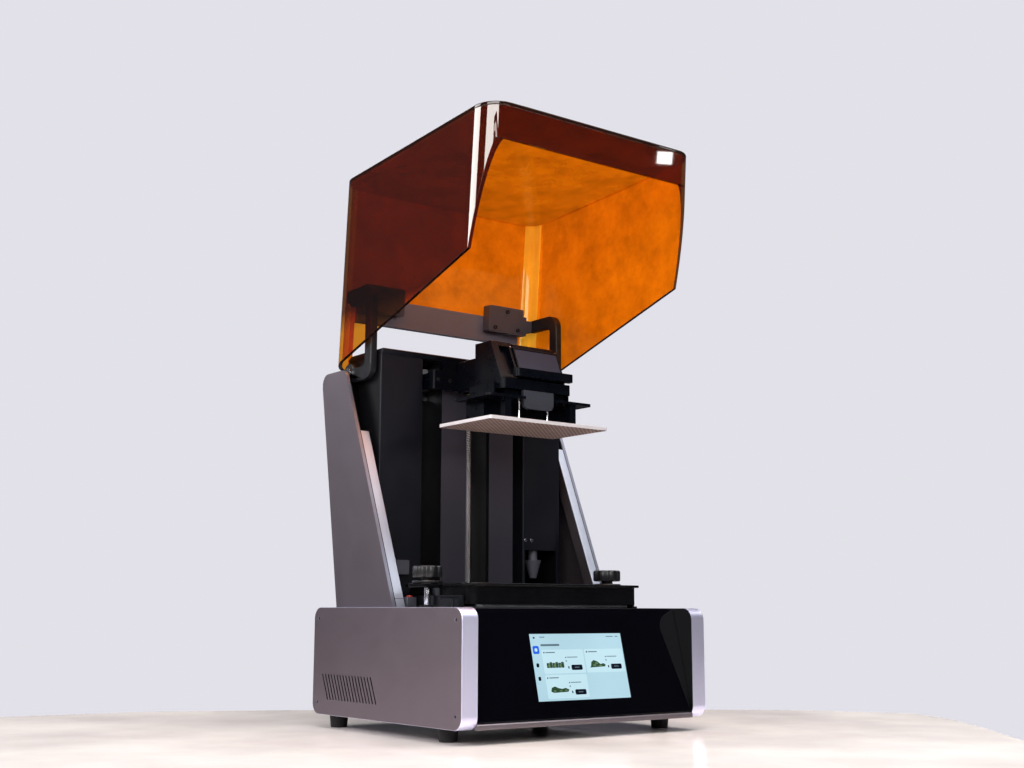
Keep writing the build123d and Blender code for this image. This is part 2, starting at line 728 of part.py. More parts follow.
def carriage_arm():
    arm = block(-46, 46, HEAD_REAR, 56, 452, 496)
    return fillet(arm.edges().filter_by(Axis.Y), 4)


def head_block():
    outline = [(HEAD_REAR, HEAD_BOTTOM), (HEAD_REAR, HEAD_TOP), (-34, HEAD_TOP), (-58, 457), (-67, 457),
               (-67, HEAD_BOTTOM)]
    head = side_profile(outline, -55, 55)
    head += block(-57.5, 57.5, -67, -56, HEAD_BOTTOM, 457)
    seat = [(-23.2, 512.5), (-47, 512.5), (-75, 457.5), (-50, 457.5)]
    head -= side_profile(seat, -22, 52)
    head -= rod_x(-25, 60, LEVER_Y, LEVER_Z, 2)
    pocket = [(-29, 504), (-39, 506), (-60, 464), (-48, 464)]
    head -= side_profile(pocket, -44, -26.5)
    for sign in (-1, 1):
        x0, x1 = sorted((sign * 54, sign * 60.5))
        head += block(x0, x1, -56, HEAD_REAR - 2, HEAD_BOTTOM, HEAD_BOTTOM + 4)
    return head


def lock_lever():
    """Flap on the sloping front of the head, hinged at its top edge, with a shelf to pull it by."""
    outline = [(-29.9, LEVER_Z), (-39.6, LEVER_Z), (-54, 471), (-74, 471), (-74, 460), (-49.4, 460)]
    lever = side_profile(outline, -21.5, 51.5)
    lever += side_profile([(-37.4, LEVER_Z), (-39.6, LEVER_Z), (-54, 471), (-52.4, 471)], 51.5, 55)
    lever += block(51.5, 57, -74, -63, 460, 471)
    lever += rod_x(-21.5, 51.5, LEVER_Y, LEVER_Z, 4.6)
    lever += block(-39, -21.5, -74, -63, 460, 471)
    return lever - rod_x(-30, 60, LEVER_Y, LEVER_Z, 2 + RUN_CLEAR)


def lever_pin():
    return rod_x(-25, 55, LEVER_Y, LEVER_Z, 2)


def platform_bracket():
    """Stem of the build platform: sliding plate with side hooks, two front posts and a rear web."""
    plate = rounded_slab(0, -36, 176, 80, 429.5, 433, 6)
    plate -= block(-27, 27, -77, -62, 429, 434)
    plate += block(-50, 50, -60, 2, 433, 442.5)
    for sign in (-1, 1):
        x0, x1 = sorted((sign * 61, sign * 64))
        plate += block(x0, x1, -54, 2, 433, 451.3)
        x0, x1 = sorted((sign * 57.8, sign * 61))
        plate += block(x0, x1, -54, 2, 447.3, 451.3)
        x0, x1 = sorted((sign * 50, sign * 60))
        plate += block(x0, x1, -74, -64, PLATE_TOP, 429.5)
    return plate + block(-70, 70, -40, 0, PLATE_TOP, 429.5)


def lock_tab():
    tab = block(-25.5, 25.5, -69, -64, 418, 442.5)
    lower = [e for e in tab.edges().filter_by(Axis.Y) if e.center().Z < 430]
    return fillet(lower, 8)


def levelling_screws():
    screws = []
    for sign in (-1, 1):
        stem = rod_z(sign * 24, -57, PLATE_TOP, 429.5, 1.6)
        screws.append(stem + Pos(sign * 24, -57, PLATE_TOP + 8) * Cone(3.6, 1.6, 16))
    return group(screws)


def build_plate():
    plate = block(-PLATE_X, PLATE_X, PLATE_FRONT, PLATE_REAR, PLATE_BOTTOM, PLATE_TOP)
    return fillet(plate.edges().filter_by(Axis.Z), 3)


def make_carriage():
    add("carriage_plate", carriage_plate())
    add("guide_blocks", guide_blocks())
    add("leadscrew_nut", leadscrew_nut())
    add("carriage_arm", carriage_arm())
    add("head_block", head_block())
    add("lock_lever", lock_lever())
    add("lever_pin", lever_pin())
    add("platform_bracket", platform_bracket())
    add("lock_tab", lock_tab())
    add("levelling_screws", levelling_screws())
    add("build_plate", build_plate())


make_base()
make_vat()
make_fins()
make_tower()
make_hood()
make_carriage()

for name, shape in parts.items():
    export_step(shape, f"parts/{name}.step")
print(len(parts), "nodes")
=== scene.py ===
import json
import math

import bmesh
import bpy
from mathutils import Matrix, Vector

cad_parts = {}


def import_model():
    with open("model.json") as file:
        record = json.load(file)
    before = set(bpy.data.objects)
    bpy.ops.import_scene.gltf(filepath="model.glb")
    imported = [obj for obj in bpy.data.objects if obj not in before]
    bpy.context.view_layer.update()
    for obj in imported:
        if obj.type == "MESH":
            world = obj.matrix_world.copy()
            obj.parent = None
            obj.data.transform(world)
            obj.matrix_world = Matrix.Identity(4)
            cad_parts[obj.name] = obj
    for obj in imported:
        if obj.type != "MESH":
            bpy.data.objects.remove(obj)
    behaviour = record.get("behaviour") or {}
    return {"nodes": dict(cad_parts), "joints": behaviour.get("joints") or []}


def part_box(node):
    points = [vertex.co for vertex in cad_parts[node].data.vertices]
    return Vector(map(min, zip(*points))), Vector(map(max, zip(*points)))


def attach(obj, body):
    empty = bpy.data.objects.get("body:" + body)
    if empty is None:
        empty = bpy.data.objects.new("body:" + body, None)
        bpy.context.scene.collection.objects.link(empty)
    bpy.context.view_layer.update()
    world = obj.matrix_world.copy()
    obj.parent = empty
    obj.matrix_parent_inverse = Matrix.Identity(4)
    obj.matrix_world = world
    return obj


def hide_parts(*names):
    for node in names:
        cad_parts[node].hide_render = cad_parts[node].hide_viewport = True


# Looks of the desktop resin printer, built round its CAD frame. Metres, +Z up, -Y towards the user.

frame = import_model()
bpy.context.view_layer.update()

MM = 0.001
NODES = frame["nodes"]
JOINTS = {joint["name"]: joint for joint in frame["joints"]}

DECK_Z = 157 * MM                     # top of the base, where the fins stand
FIN_FOOT_Y = -2 * MM                  # front edge of the fins at their feet
FIN_LEAN = 0.4156                     # how far that edge runs back for each step up
SLOT_HEIGHT = (53.5 * MM, 22 * MM)    # middle and reach of the vent slots' zone, upwards
SLOT_DEPTH = (80 * MM, 75 * MM)       # and from front to back


# ---------------------------------------------------------------- materials
def srgb(red, green, blue):
    """Linear colour of an 8-bit display colour."""
    def linear(value):
        value /= 255
        return value / 12.92 if value <= 0.04045 else ((value + 0.055) / 1.055) ** 2.4
    return (linear(red), linear(green), linear(blue), 1.0)


def scaled(colour, factor):
    """The colour made darker or brighter."""
    return tuple(min(1.0, channel * factor) for channel in colour[:3]) + (1.0,)


def start_material(name):
    material = bpy.data.materials.new(name)
    material.use_nodes = True
    tree = material.node_tree
    tree.nodes.clear()
    output = tree.nodes.new("ShaderNodeOutputMaterial")
    return material, tree, output


def start_principled(name):
    """New material with a Principled shader, which the caller sets."""
    material, tree, output = start_material(name)
    shader = tree.nodes.new("ShaderNodeBsdfPrincipled")
    tree.links.new(shader.outputs["BSDF"], output.inputs["Surface"])
    return material, tree, shader


def axes(tree, kind, output):
    """X, Y and Z of a vector that a node of this kind gives."""
    source = tree.nodes.new(kind)
    split = tree.nodes.new("ShaderNodeSeparateXYZ")
    tree.links.new(source.outputs[output], split.inputs["Vector"])
    return split.outputs


def maths(tree, operation, *values, clamp=False):
    """Math node on numbers and outputs."""
    node = tree.nodes.new("ShaderNodeMath")
    node.operation = operation
    node.use_clamp = clamp
    for socket, value in zip(node.inputs, values):
        if isinstance(value, (int, float)):
            socket.default_value = value
        else:
            tree.links.new(value, socket)
    return node.outputs["Value"]


def noise(tree, scale, detail=4.0, stretch=(1, 1, 1), rough=0.55):
    """Noise texture in the piece's own space, in metres."""
    place = tree.nodes.new("ShaderNodeTexCoord")
    mapping = tree.nodes.new("ShaderNodeMapping")
    mapping.inputs["Scale"].default_value = stretch
    texture = tree.nodes.new("ShaderNodeTexNoise")
    texture.inputs["Scale"].default_value = scale
    texture.inputs["Detail"].default_value = detail
    texture.inputs["Roughness"].default_value = rough
    tree.links.new(place.outputs["Object"], mapping.inputs["Vector"])
    tree.links.new(mapping.outputs["Vector"], texture.inputs["Vector"])
    return texture.outputs["Fac"]


def spread(tree, value, low, high, from_low=0.3, from_high=0.7):
    """Maps a value onto a range, from the middle stretch of a noise unless told otherwise."""
    node = tree.nodes.new("ShaderNodeMapRange")
    node.inputs["From Min"].default_value = from_low
    node.inputs["From Max"].default_value = from_high
    node.inputs["To Min"].default_value = low
    node.inputs["To Max"].default_value = high
    tree.links.new(value, node.inputs["Value"])
    return node.outputs["Result"]


def between(tree, factor, first, second):
    """Mix of two colours, or two colour outputs, by a value."""
    node = tree.nodes.new("ShaderNodeMix")
    node.data_type = "RGBA"
    for socket, colour in (("A", first), ("B", second)):
        if isinstance(colour, tuple):
            node.inputs[socket].default_value = colour
        else:
            tree.links.new(colour, node.inputs[socket])
    tree.links.new(factor, node.inputs["Factor"])
    return node.outputs["Result"]


def bump(tree, height, strength, distance):
    node = tree.nodes.new("ShaderNodeBump")
    node.inputs["Strength"].default_value = strength
    node.inputs["Distance"].default_value = distance
    tree.links.new(height, node.inputs["Height"])
    return node.outputs["Normal"]


def painted_shade_in_slots(tree):
    """1 on the walls of the side panels' vent slots, 0 elsewhere: where painted shade goes."""
    place = axes(tree, "ShaderNodeTexCoord", "Object")
    turned = axes(tree, "ShaderNodeNewGeometry", "Normal")
    height = maths(tree, "COMPARE", place["Z"], *SLOT_HEIGHT)
    depth = maths(tree, "COMPARE", place["Y"], *SLOT_DEPTH)
    wall = maths(tree, "COMPARE", turned["X"], 0.0, 0.5)
    return maths(tree, "MULTIPLY", maths(tree, "MULTIPLY", height, depth), wall)


def uneven(tree, factor, colour, vary):
    """The colour, varied both ways by a value from 0 to 1."""
    return between(tree, factor, scaled(colour, 1 - vary), scaled(colour, 1 + vary))


def surface(name, colour, roughness, metallic=0.0, vary=0.08, patch=18.0, grain=900.0, grain_depth=0.15,
            stretch=(1, 1, 1), rough_vary=0.06, coat=0.0, specular=0.5, coat_roughness=0.05, rim=None):
    """Plain opaque finish: uneven colour in large patches, uneven roughness, and a fine grain.

    With a rim colour, the faces that do not look sideways get it: partly the milled edges of a dyed cover and
    partly painted light, those faces lighter or darker than the sideways ones by how light falls on them; the
    walls of the side panels' vent slots get painted shade, near black.
    """
    material, tree, shader = start_principled(name)
    shader.inputs["Metallic"].default_value = metallic
    shader.inputs["Specular IOR Level"].default_value = specular
    shader.inputs["Coat Weight"].default_value = coat
    shader.inputs["Coat Roughness"].default_value = coat_roughness
    patches = noise(tree, patch, 3.0, stretch)
    fine = noise(tree, grain, 2.0, stretch, 0.7)
    tint = uneven(tree, spread(tree, patches, 0, 1), colour, vary)
    if rim:
        # Faces that do not look sideways take the rim colour: partly milled metal, partly painted light.
        sideways = maths(tree, "ABSOLUTE", axes(tree, "ShaderNodeNewGeometry", "Normal")["X"])
        tinted = between(tree, spread(tree, sideways, 0, 1, 0.6, 0.85), rim, tint)
        # Painted shade: the vent slots' walls are darkened to near black.
        tint = between(tree, painted_shade_in_slots(tree), tinted, scaled(colour, 0.05))
    tree.links.new(tint, shader.inputs["Base Color"])
    worn = spread(tree, noise(tree, patch * 4, 5.0, stretch), roughness - rough_vary, roughness + rough_vary)
    tree.links.new(worn, shader.inputs["Roughness"])
    tree.links.new(bump(tree, fine, grain_depth, 0.4 * MM), shader.inputs["Normal"])
    return material


def glowing(name, colour, strength, vary=0.06):
    """Lit part of the display: colour from behind a smooth glass."""
    material, tree, shader = start_principled(name)
    shader.inputs["Base Color"].default_value = scaled(colour, 0.1)
    shader.inputs["Roughness"].default_value = 0.12
    tint = uneven(tree, spread(tree, noise(tree, 9.0, 1.0), 0, 1), colour, vary)
    tree.links.new(tint, shader.inputs["Emission Color"])
    shader.inputs["Emission Strength"].default_value = strength
    return material


def mixed(tree, factor, first, second):
    """Mix of two shaders by a value."""
    node = tree.nodes.new("ShaderNodeMixShader")
    tree.links.new(factor, node.inputs["Fac"])
    tree.links.new(first, node.inputs[1])
    tree.links.new(second, node.inputs[2])
    return node.outputs["Shader"]


def clear_plastic(name, pass_colour, body_colour, body_share, shine, mottle, tail_colour=None,
                  gloss=(1, 0.97, 0.93, 1)):
    """See-through tinted plastic: part of the light passes, pigment scatters part, and the skin mirrors.

    A skin tints what is seen through its front; its back is clear, so that a sheet is tinted once.
    With a tail colour, the skin passes that colour low down, where the open hood hangs behind the tower, and
    its other pass colour higher up: the sheet is the same throughout, so this change with height is painted
    light and shade.
    """
    material, tree, output = start_material(name)
    passing = tree.nodes.new("ShaderNodeBsdfTransparent")
    body = tree.nodes.new("ShaderNodeBsdfDiffuse")
    back = tree.nodes.new("ShaderNodeNewGeometry").outputs["Backfacing"]
    cloud = spread(tree, noise(tree, 22.0, 6.0, rough=0.7), 0, 1)
    tree.links.new(uneven(tree, cloud, body_colour, mottle), body.inputs["Color"])
    through = uneven(tree, cloud, pass_colour, mottle)
    if tail_colour:
        height = axes(tree, "ShaderNodeTexCoord", "Object")["Z"]
        above = spread(tree, height, 0, 1, 535 * MM, 565 * MM)
        through = between(tree, above, tail_colour, through)
    clear = (0.97, 0.97, 0.97, 1)
    tree.links.new(between(tree, back, through, clear), passing.inputs["Color"])
    # The mirror's colour tints what the skin reflects; where it is warm, as inside the hood, it is a painted
    # reflection colour.
    mirror = tree.nodes.new("ShaderNodeBsdfGlossy")
    mirror.inputs["Roughness"].default_value = 0.025
    mirror.inputs["Color"].default_value = gloss
    edge = tree.nodes.new("ShaderNodeFresnel")
    edge.inputs["IOR"].default_value = shine
    skin = maths(tree, "SUBTRACT", edge.outputs["Fac"], back, clamp=True)
    scattered = maths(tree, "MULTIPLY_ADD", back, -body_share, body_share)
    inside = mixed(tree, scattered, passing.outputs["BSDF"], body.outputs["BSDF"])
    tree.links.new(mixed(tree, skin, inside, mirror.outputs["BSDF"]), output.inputs["Surface"])
    return material


def hatched_plate():
    """Blasted aluminium with two sets of fine diagonal lines, as a laser leaves them under a build plate."""
    material, tree, shader = start_principled("hatched_plate")
    shader.inputs["Metallic"].default_value = 0.55
    place = tree.nodes.new("ShaderNodeTexCoord")
    lines = []
    for turn in (45, -45):
        mapping = tree.nodes.new("ShaderNodeMapping")
        mapping.inputs["Rotation"].default_value = (0, 0, math.radians(turn))
        wave = tree.nodes.new("ShaderNodeTexWave")
        wave.inputs["Scale"].default_value = 62.0
        wave.inputs["Distortion"].default_value = 0.0
        tree.links.new(place.outputs["Object"], mapping.inputs["Vector"])
        tree.links.new(mapping.outputs["Vector"], wave.inputs["Vector"])
        lines.append(spread(tree, wave.outputs["Fac"], 0, 1, 0.86, 0.98))
    both = maths(tree, "MAXIMUM", *lines)
    tint = between(tree, both, srgb(122, 95, 88), srgb(214, 192, 184))
    stain = between(tree, spread(tree, noise(tree, 30.0, 5.0), 0, 1), (0.86, 0.84, 0.84, 1), (1, 1, 1, 1))
    blend = tree.nodes.new("ShaderNodeMix")
    blend.data_type = "RGBA"
    blend.blend_type = "MULTIPLY"
    blend.inputs["Factor"].default_value = 1.0
    tree.links.new(tint, blend.inputs["A"])
    tree.links.new(stain, blend.inputs["B"])
    tree.links.new(blend.outputs["Result"], shader.inputs["Base Color"])
    tree.links.new(spread(tree, noise(tree, 160.0, 4.0), 0.4, 0.62), shader.inputs["Roughness"])
    tree.links.new(bump(tree, both, 0.3, 0.3 * MM), shader.inputs["Normal"])
    return material


def thread_steel():
    """Steel thread: bright crests and a dark root, told apart by the distance from the screw's axis."""
    material, tree, shader = start_principled("thread")
    place = tree.nodes.new("ShaderNodeTexCoord")
    mapping = tree.nodes.new("ShaderNodeMapping")
    axis = JOINTS["leadscrew_spin"]["pos_m"]
    mapping.inputs["Location"].default_value = (-axis[0], -axis[1], 0)
    mapping.inputs["Scale"].default_value = (1, 1, 0)
    reach = tree.nodes.new("ShaderNodeVectorMath")
    reach.operation = "LENGTH"
    tree.links.new(place.outputs["Object"], mapping.inputs["Vector"])
    tree.links.new(mapping.outputs["Vector"], reach.inputs[0])
    crest = spread(tree, reach.outputs["Value"], 0, 1, 4.15 * MM, 4.65 * MM)
    tint = between(tree, crest, srgb(30, 30, 32), srgb(246, 246, 250))
    tree.links.new(tint, shader.inputs["Base Color"])
    tree.links.new(spread(tree, crest, 0, 0.45, 0, 1), shader.inputs["Metallic"])
    tree.links.new(spread(tree, noise(tree, 300.0, 3.0), 0.18, 0.3), shader.inputs["Roughness"])
    return material


# A surface's numbers are its roughness, metallic share, colour variation, patches and grain per metre, and the
# grain's depth. A clear plastic's are its scattered share, refraction and mottling.
M = {
    # Anodised, fin and flange: the rim colour on faces that look forwards or up is partly the milled metal and
    # partly painted light; the flange's darker sideways faces are painted shade.
    "anodised": surface("anodised", srgb(116, 106, 114), 0.42, 0.9, 0.03, 9.0, 1500.0, 0.2, rough_vary=0.015,
                        rim=srgb(204, 204, 228)),
    "fin": surface("fin", srgb(112, 104, 112), 0.42, 0.9, 0.03, 9.0, 1500.0, 0.2, rough_vary=0.015,
                   rim=srgb(124, 126, 140)),
    "flange": surface("flange", srgb(112, 106, 112), 0.42, 0.85, 0.03, 20.0, 1400.0, 0.15, rough_vary=0.015,
                      rim=srgb(174, 180, 194)),
    "strip_grey": surface("strip_grey", srgb(116, 108, 113), 0.36, 0.85, 0.03, 20.0, 1400.0, 0.15),
    "gloss_black": surface("gloss_black", srgb(2, 2, 5), 0.07, 0.0, 0.1, 12.0, 300.0, 0.01, specular=0.3),
    "screw_black": surface("screw_black", srgb(34, 34, 38), 0.38, 0.6, 0.1, 90.0, 1200.0, 0.1),
    "metal_black": surface("metal_black", srgb(20, 21, 25), 0.36, 0.2, 0.12, 14.0, 1300.0, 0.12, specular=0.35),
    "deck_black": surface("deck_black", srgb(8, 8, 11), 0.14, 0.0, 0.15, 25.0, 500.0, 0.03, specular=0.3),
    "tower_black": surface("tower_black", srgb(10, 12, 20), 0.40, 0.1, 0.2, 7.0, 1500.0, 0.12, specular=0.28),
    "tower_side": surface("tower_side", srgb(9, 9, 12), 0.5, 0.0, 0.2, 7.0, 1500.0, 0.12, specular=0.14),
    # Rail covers: the faces that look sideways are near black, painted shade; the others take the grey rim
    # colour.
    "cover_grey": surface("cover_grey", srgb(5, 5, 8), 0.44, 0.2, 0.07, 8.0, 1500.0, 0.14, specular=0.3,
                          rim=srgb(50, 48, 56)),
    "bar_grey": surface("bar_grey", srgb(108, 114, 132), 0.38, 0.4, 0.06, 12.0, 1500.0, 0.15),
    # Corner blocks: darker than the bar, partly their own grey and partly painted shade for the block that the
    # hood shades.
    "block_grey": surface("block_grey", srgb(68, 74, 88), 0.34, 0.3, 0.06, 12.0, 1500.0, 0.12),
    "head_black": surface("head_black", srgb(4, 6, 12), 0.3, 0.0, 0.1, 16.0, 1500.0, 0.06, specular=0.09),
    "head_pocket": surface("head_pocket", srgb(34, 44, 62), 0.42, 0.0, 0.1, 30.0, 1500.0, 0.1, specular=0.15),
    "plastic_black": surface("plastic_black", srgb(16, 16, 19), 0.34, 0.0, 0.12, 30.0, 1100.0, 0.18,
                             specular=0.4),
    "plastic_grey": surface("plastic_grey", srgb(66, 67, 75), 0.48, 0.0, 0.08, 40.0, 1100.0, 0.2),
    "tab_grey": surface("tab_grey", srgb(44, 46, 54), 0.46, 0.0, 0.08, 40.0, 1100.0, 0.15, specular=0.3),
    "rubber": surface("rubber", srgb(24, 22, 23), 0.68, 0.0, 0.15, 50.0, 900.0, 0.4, specular=0.25),
    "steel": surface("steel", srgb(205, 205, 210), 0.2, 1.0, 0.05, 60.0, 900.0, 0.08, stretch=(1, 1, 0.05)),
    "thread": thread_steel(),
    "sheet_metal": surface("sheet_metal", srgb(176, 178, 182), 0.36, 1.0, 0.12, 40.0, 500.0, 0.1),
    "aluminium": surface("aluminium", srgb(190, 190, 194), 0.34, 1.0, 0.06, 25.0, 1000.0, 0.15,
                         stretch=(1, 1, 0.04)),
    "plate_edge": surface("plate_edge", srgb(204, 199, 202), 0.42, 0.4, 0.04, 50.0, 1200.0, 0.15),
    "plate_under": hatched_plate(),
    "brass": surface("brass", srgb(196, 160, 92), 0.28, 1.0, 0.08, 60.0, 900.0, 0.1),
    "board": surface("board", srgb(22, 92, 52), 0.34, 0.0, 0.12, 60.0, 400.0, 0.05),
    "lens": surface("lens", srgb(196, 204, 210), 0.12, 0.0, 0.05, 40.0, 300.0, 0.02, coat=0.5),
    "exposure": surface("exposure", srgb(14, 15, 20), 0.05, 0.0, 0.1, 15.0, 200.0, 0.005, coat=1.0),
    "vat_black": surface("vat_black", srgb(11, 11, 13), 0.17, 0.1, 0.25, 26.0, 260.0, 0.1, rough_vary=0.08,
                         specular=0.3),
    "red": surface("red_cap", srgb(150, 28, 20), 0.4, 0.0, 0.1, 60.0, 900.0, 0.1),
    # The hood's outer skin: its pass and pigment colours are far darker than the inner skin's, painted shade;
    # low down its tail colour lets the plainer amber through.
    "amber_out_painted_shade": clear_plastic("amber_out_painted_shade", (0.15, 0.05, 0.012, 1), srgb(96, 34, 14), 0.02, 1.8, 0.12,
                               (0.82, 0.30, 0.01, 1)),
    # The hood's inner skin: its mirror is tinted warm, a painted reflection colour.
    "amber_in": clear_plastic("amber_in", (0.74, 0.19, 0.003, 1), srgb(236, 113, 2), 0.35, 1.45, 0.3,
                              gloss=(1, 0.82, 0.45, 1)),
    # The inside of the hood's rounded top bends: a brighter copy of the amber, a painted highlight.
    "amber_corner_painted_highlight": clear_plastic("amber_corner_painted_highlight", (1.0, 0.42, 0.03, 1), srgb(255, 176, 34), 0.45, 1.45, 0.15,
                                  gloss=(1, 0.9, 0.6, 1)),
    "amber_edge": clear_plastic("amber_edge", (0.02, 0.008, 0.005, 1), srgb(34, 14, 6), 0.6, 1.5, 0.1),
    "film": clear_plastic("film", (0.9, 0.92, 0.95, 1), (0.6, 0.62, 0.66, 1), 0.12, 1.4, 0.05),
    "screen_pale": glowing("screen_pale", srgb(178, 214, 228), 0.86),
    "screen_card": glowing("screen_card", srgb(190, 223, 234), 0.92, 0.03),
    "screen_blue": glowing("screen_blue", srgb(38, 96, 226), 0.9),
    "screen_dark": glowing("screen_dark", srgb(20, 26, 40), 0.6),
    "screen_grey": glowing("screen_grey", srgb(96, 120, 134), 0.8),
    "screen_green": glowing("screen_green", srgb(52, 82, 58), 0.7, 0.3),
    "screen_green_light": glowing("screen_green_light", srgb(104, 134, 96), 0.75, 0.2),
}


# ---------------------------------------------------------------- mesh helpers
def flatten_shading(piece, keep_sharp=True):
    """Keeps the shading of large faces flat beside their rounded edges."""
    shade = piece.modifiers.new("shade", "WEIGHTED_NORMAL")
    shade.keep_sharp = keep_sharp
    shade.weight = 90


def finish_piece(name, mesh, materials, body, replaces=(), smooth_angle=32, flat=False):
    """Puts a mesh in the scene, shades it, and hangs it on its body."""
    for material in materials:
        mesh.materials.append(material)
    mesh.shade_smooth()
    mesh.set_sharp_from_angle(angle=math.radians(smooth_angle))
    piece = bpy.data.objects.new(name, mesh)
    bpy.context.scene.collection.objects.link(piece)
    if flat:
        flatten_shading(piece)
    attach(piece, body)
    if replaces:
        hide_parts(*replaces)
    return piece


def mesh_from(bm, name):
    """Turns the editable mesh into a mesh with its faces looking outwards."""
    bmesh.ops.recalc_face_normals(bm, faces=bm.faces[:])
    mesh = bpy.data.meshes.new(name)
    bm.to_mesh(mesh)
    bm.free()
    return mesh


def bevel_sharp(bm, width, segments=2, angle=35.0):
    """Rounds every edge that is sharper than the angle."""
    limit = math.radians(angle)
    edges = [edge for edge in bm.edges if edge.is_manifold and edge.calc_face_angle(0) > limit]
    bmesh.ops.bevel(bm, geom=edges, offset=width, segments=segments, profile=0.5, affect="EDGES",
                    clamp_overlap=True)


def skin_rings(bm, rings):
    """Closed skin over rings of vertices, with an end face on the first and on the last."""
    for lower, upper in zip(rings, rings[1:]):
        for i in range(len(lower)):
            j = (i + 1) % len(lower)
            bm.faces.new((lower[i], lower[j], upper[j], upper[i]))
    bm.faces.new(rings[0][::-1])
    bm.faces.new(rings[-1])


def box_in(bm, low, high):
    middle = (Vector(low) + Vector(high)) / 2
    size = Vector(high) - Vector(low)
    for vert in bmesh.ops.create_cube(bm, size=1.0)["verts"]:
        vert.co = Vector(vert.co[i] * size[i] + middle[i] for i in range(3))


def lathe_in(bm, profile, centre, segments=32, lobes=None):
    """Turns a profile of (radius, height) round the upright through centre; closed at both ends."""
    rings = []
    for radius, height in profile:
        ring = []
        for i in range(segments):
            angle = 2 * math.pi * i / segments
            reach = radius * (lobes(angle) if lobes else 1.0)
            point = Vector((reach * math.cos(angle), reach * math.sin(angle), height))
            ring.append(bm.verts.new(point + Vector(centre)))
        rings.append(ring)
    skin_rings(bm, rings)


def screw_in(bm, centre, direction, radius, depth, socket=0.5, segments=28):
    """Socket-head screw: rounded rim, and a six-sided recess sunk in its top."""
    turn = Vector((0, 0, 1)).rotation_difference(Vector(direction).normalized()).to_matrix()
    rim = radius * 0.12
    angles = [2 * math.pi * i / segments for i in range(segments)]
    circle = [1.0] * segments
    hexagon = [math.cos(math.pi / 6) / math.cos(angle % (math.pi / 3) - math.pi / 6) for angle in angles]
    levels = [(radius, -depth, circle), (radius, -rim, circle), (radius - rim * 0.3, -rim * 0.3, circle),
              (radius - rim, 0, circle), (radius * socket, -rim * 0.1, hexagon),
              (radius * socket, -radius * 0.55, hexagon)]
    rings = []
    for reach, height, outline in levels:
        ring = []
        for angle, share in zip(angles, outline):
            point = Vector((reach * share * math.cos(angle), reach * share * math.sin(angle), height))
            ring.append(bm.verts.new(turn @ point + Vector(centre)))
        rings.append(ring)
    skin_rings(bm, rings)


def cad_copy(node):
    """The CAD node's shape as an editable mesh, with its flat faces joined up."""
    bm = bmesh.new()
    bm.from_mesh(NODES[node].data)
    bmesh.ops.remove_doubles(bm, verts=bm.verts[:], dist=1e-6)
    bmesh.ops.dissolve_limit(bm, angle_limit=math.radians(0.8), verts=bm.verts[:], edges=bm.edges[:])
    return bm


def dress(node, material, bevel=0.0006, segments=2, angle=35.0):
    """Gives a CAD node its finish and small rounded edges."""
    target = NODES[node]
    target.data.materials.clear()
    target.data.materials.append(M[material])
    if bevel:
        weld = target.modifiers.new("join", "WELD")
        weld.merge_threshold = 1e-6
        edge = target.modifiers.new("edge", "BEVEL")
        edge.width = bevel
        edge.segments = segments
        edge.limit_method = "ANGLE"
        edge.angle_limit = math.radians(angle)
        flatten_shading(target, keep_sharp=False)


# ---------------------------------------------------------------- CAD nodes that keep their shape
# Finish, width of the rounded edges in metres, and how many faces round them off.
PLAIN = {
    "side_panels": ("anodised", 0.0, 0),
    "fin_shells": ("fin", 0.0007, 2),
    "fin_flanges": ("flange", 0.0007, 2),
    "front_strip": ("strip_grey", 0.0004, 2),
    "front_panel": ("gloss_black", 0.0005, 2),
    "base_tray": ("metal_black", 0.0, 0),
    "bottom_cover": ("plastic_black", 0.0, 0),
    "top_deck": ("deck_black", 0.0, 0),
    "rear_panel": ("metal_black", 0.0, 0),
    "feet": ("rubber", 0.0012, 3),
    "exposure_screen": ("exposure", 0.0005, 2),
    "uv_lens_array": ("lens", 0.0008, 2),
    "uv_led_board": ("board", 0.0003, 1),
    "heatsink": ("aluminium", 0.0, 0),
    "main_board": ("board", 0.0003, 1),
    "power_supply": ("sheet_metal", 0.0006, 2),
    "fan_frame": ("plastic_black", 0.0006, 2),
    "fan_rotor": ("plastic_black", 0.0003, 1),
    "power_inlet": ("plastic_black", 0.0006, 2),
    "power_rocker": ("plastic_black", 0.0006, 2),
    "usb_port": ("sheet_metal", 0.0002, 1),
    "vat_rails": ("metal_black", 0.0004, 2),
    "vat_film_ring": ("sheet_metal", 0.0003, 1),
    "vat_film": ("film", 0.0, 0),
    "tower_front_panels": ("tower_black", 0.0, 0),
    "tower_back_cover": ("tower_side", 0.0010, 3),
    "tower_cap": ("tower_black", 0.0008, 2),
    "rail_covers": ("cover_grey", 0.0006, 2),
    "z_beam": ("aluminium", 0.0008, 2),
    "linear_rails": ("steel", 0.0008, 2),
    "top_bearing": ("metal_black", 0.0008, 2),
    "z_motor": ("metal_black", 0.0012, 2),
    "shaft_coupling": ("aluminium", 0.0006, 2),
    "feed_nozzle": ("plastic_grey", 0.0010, 3),
    "sensor_housings": ("plastic_grey", 0.0008, 2),
    "hinge_pins": ("steel", 0.0010, 3),
    "hood_crossbar": ("bar_grey", 0.0010, 3),
    "hood_corner_blocks": ("block_grey", 0.0012, 3),
    "hood_arms": ("metal_black", 0.0016, 3),
    "carriage_plate": ("head_black", 0.0008, 3),
    "guide_blocks": ("steel", 0.0010, 2),
    "leadscrew_nut": ("brass", 0.0008, 2),
    "carriage_arm": ("head_black", 0.0012, 3),
    "lever_pin": ("steel", 0.0004, 1),
    "platform_bracket": ("head_black", 0.0007, 2),
    "lock_tab": ("tab_grey", 0.0010, 3),
}
for node, (material, bevel, segments) in PLAIN.items():
    dress(node, material, bevel, segments)


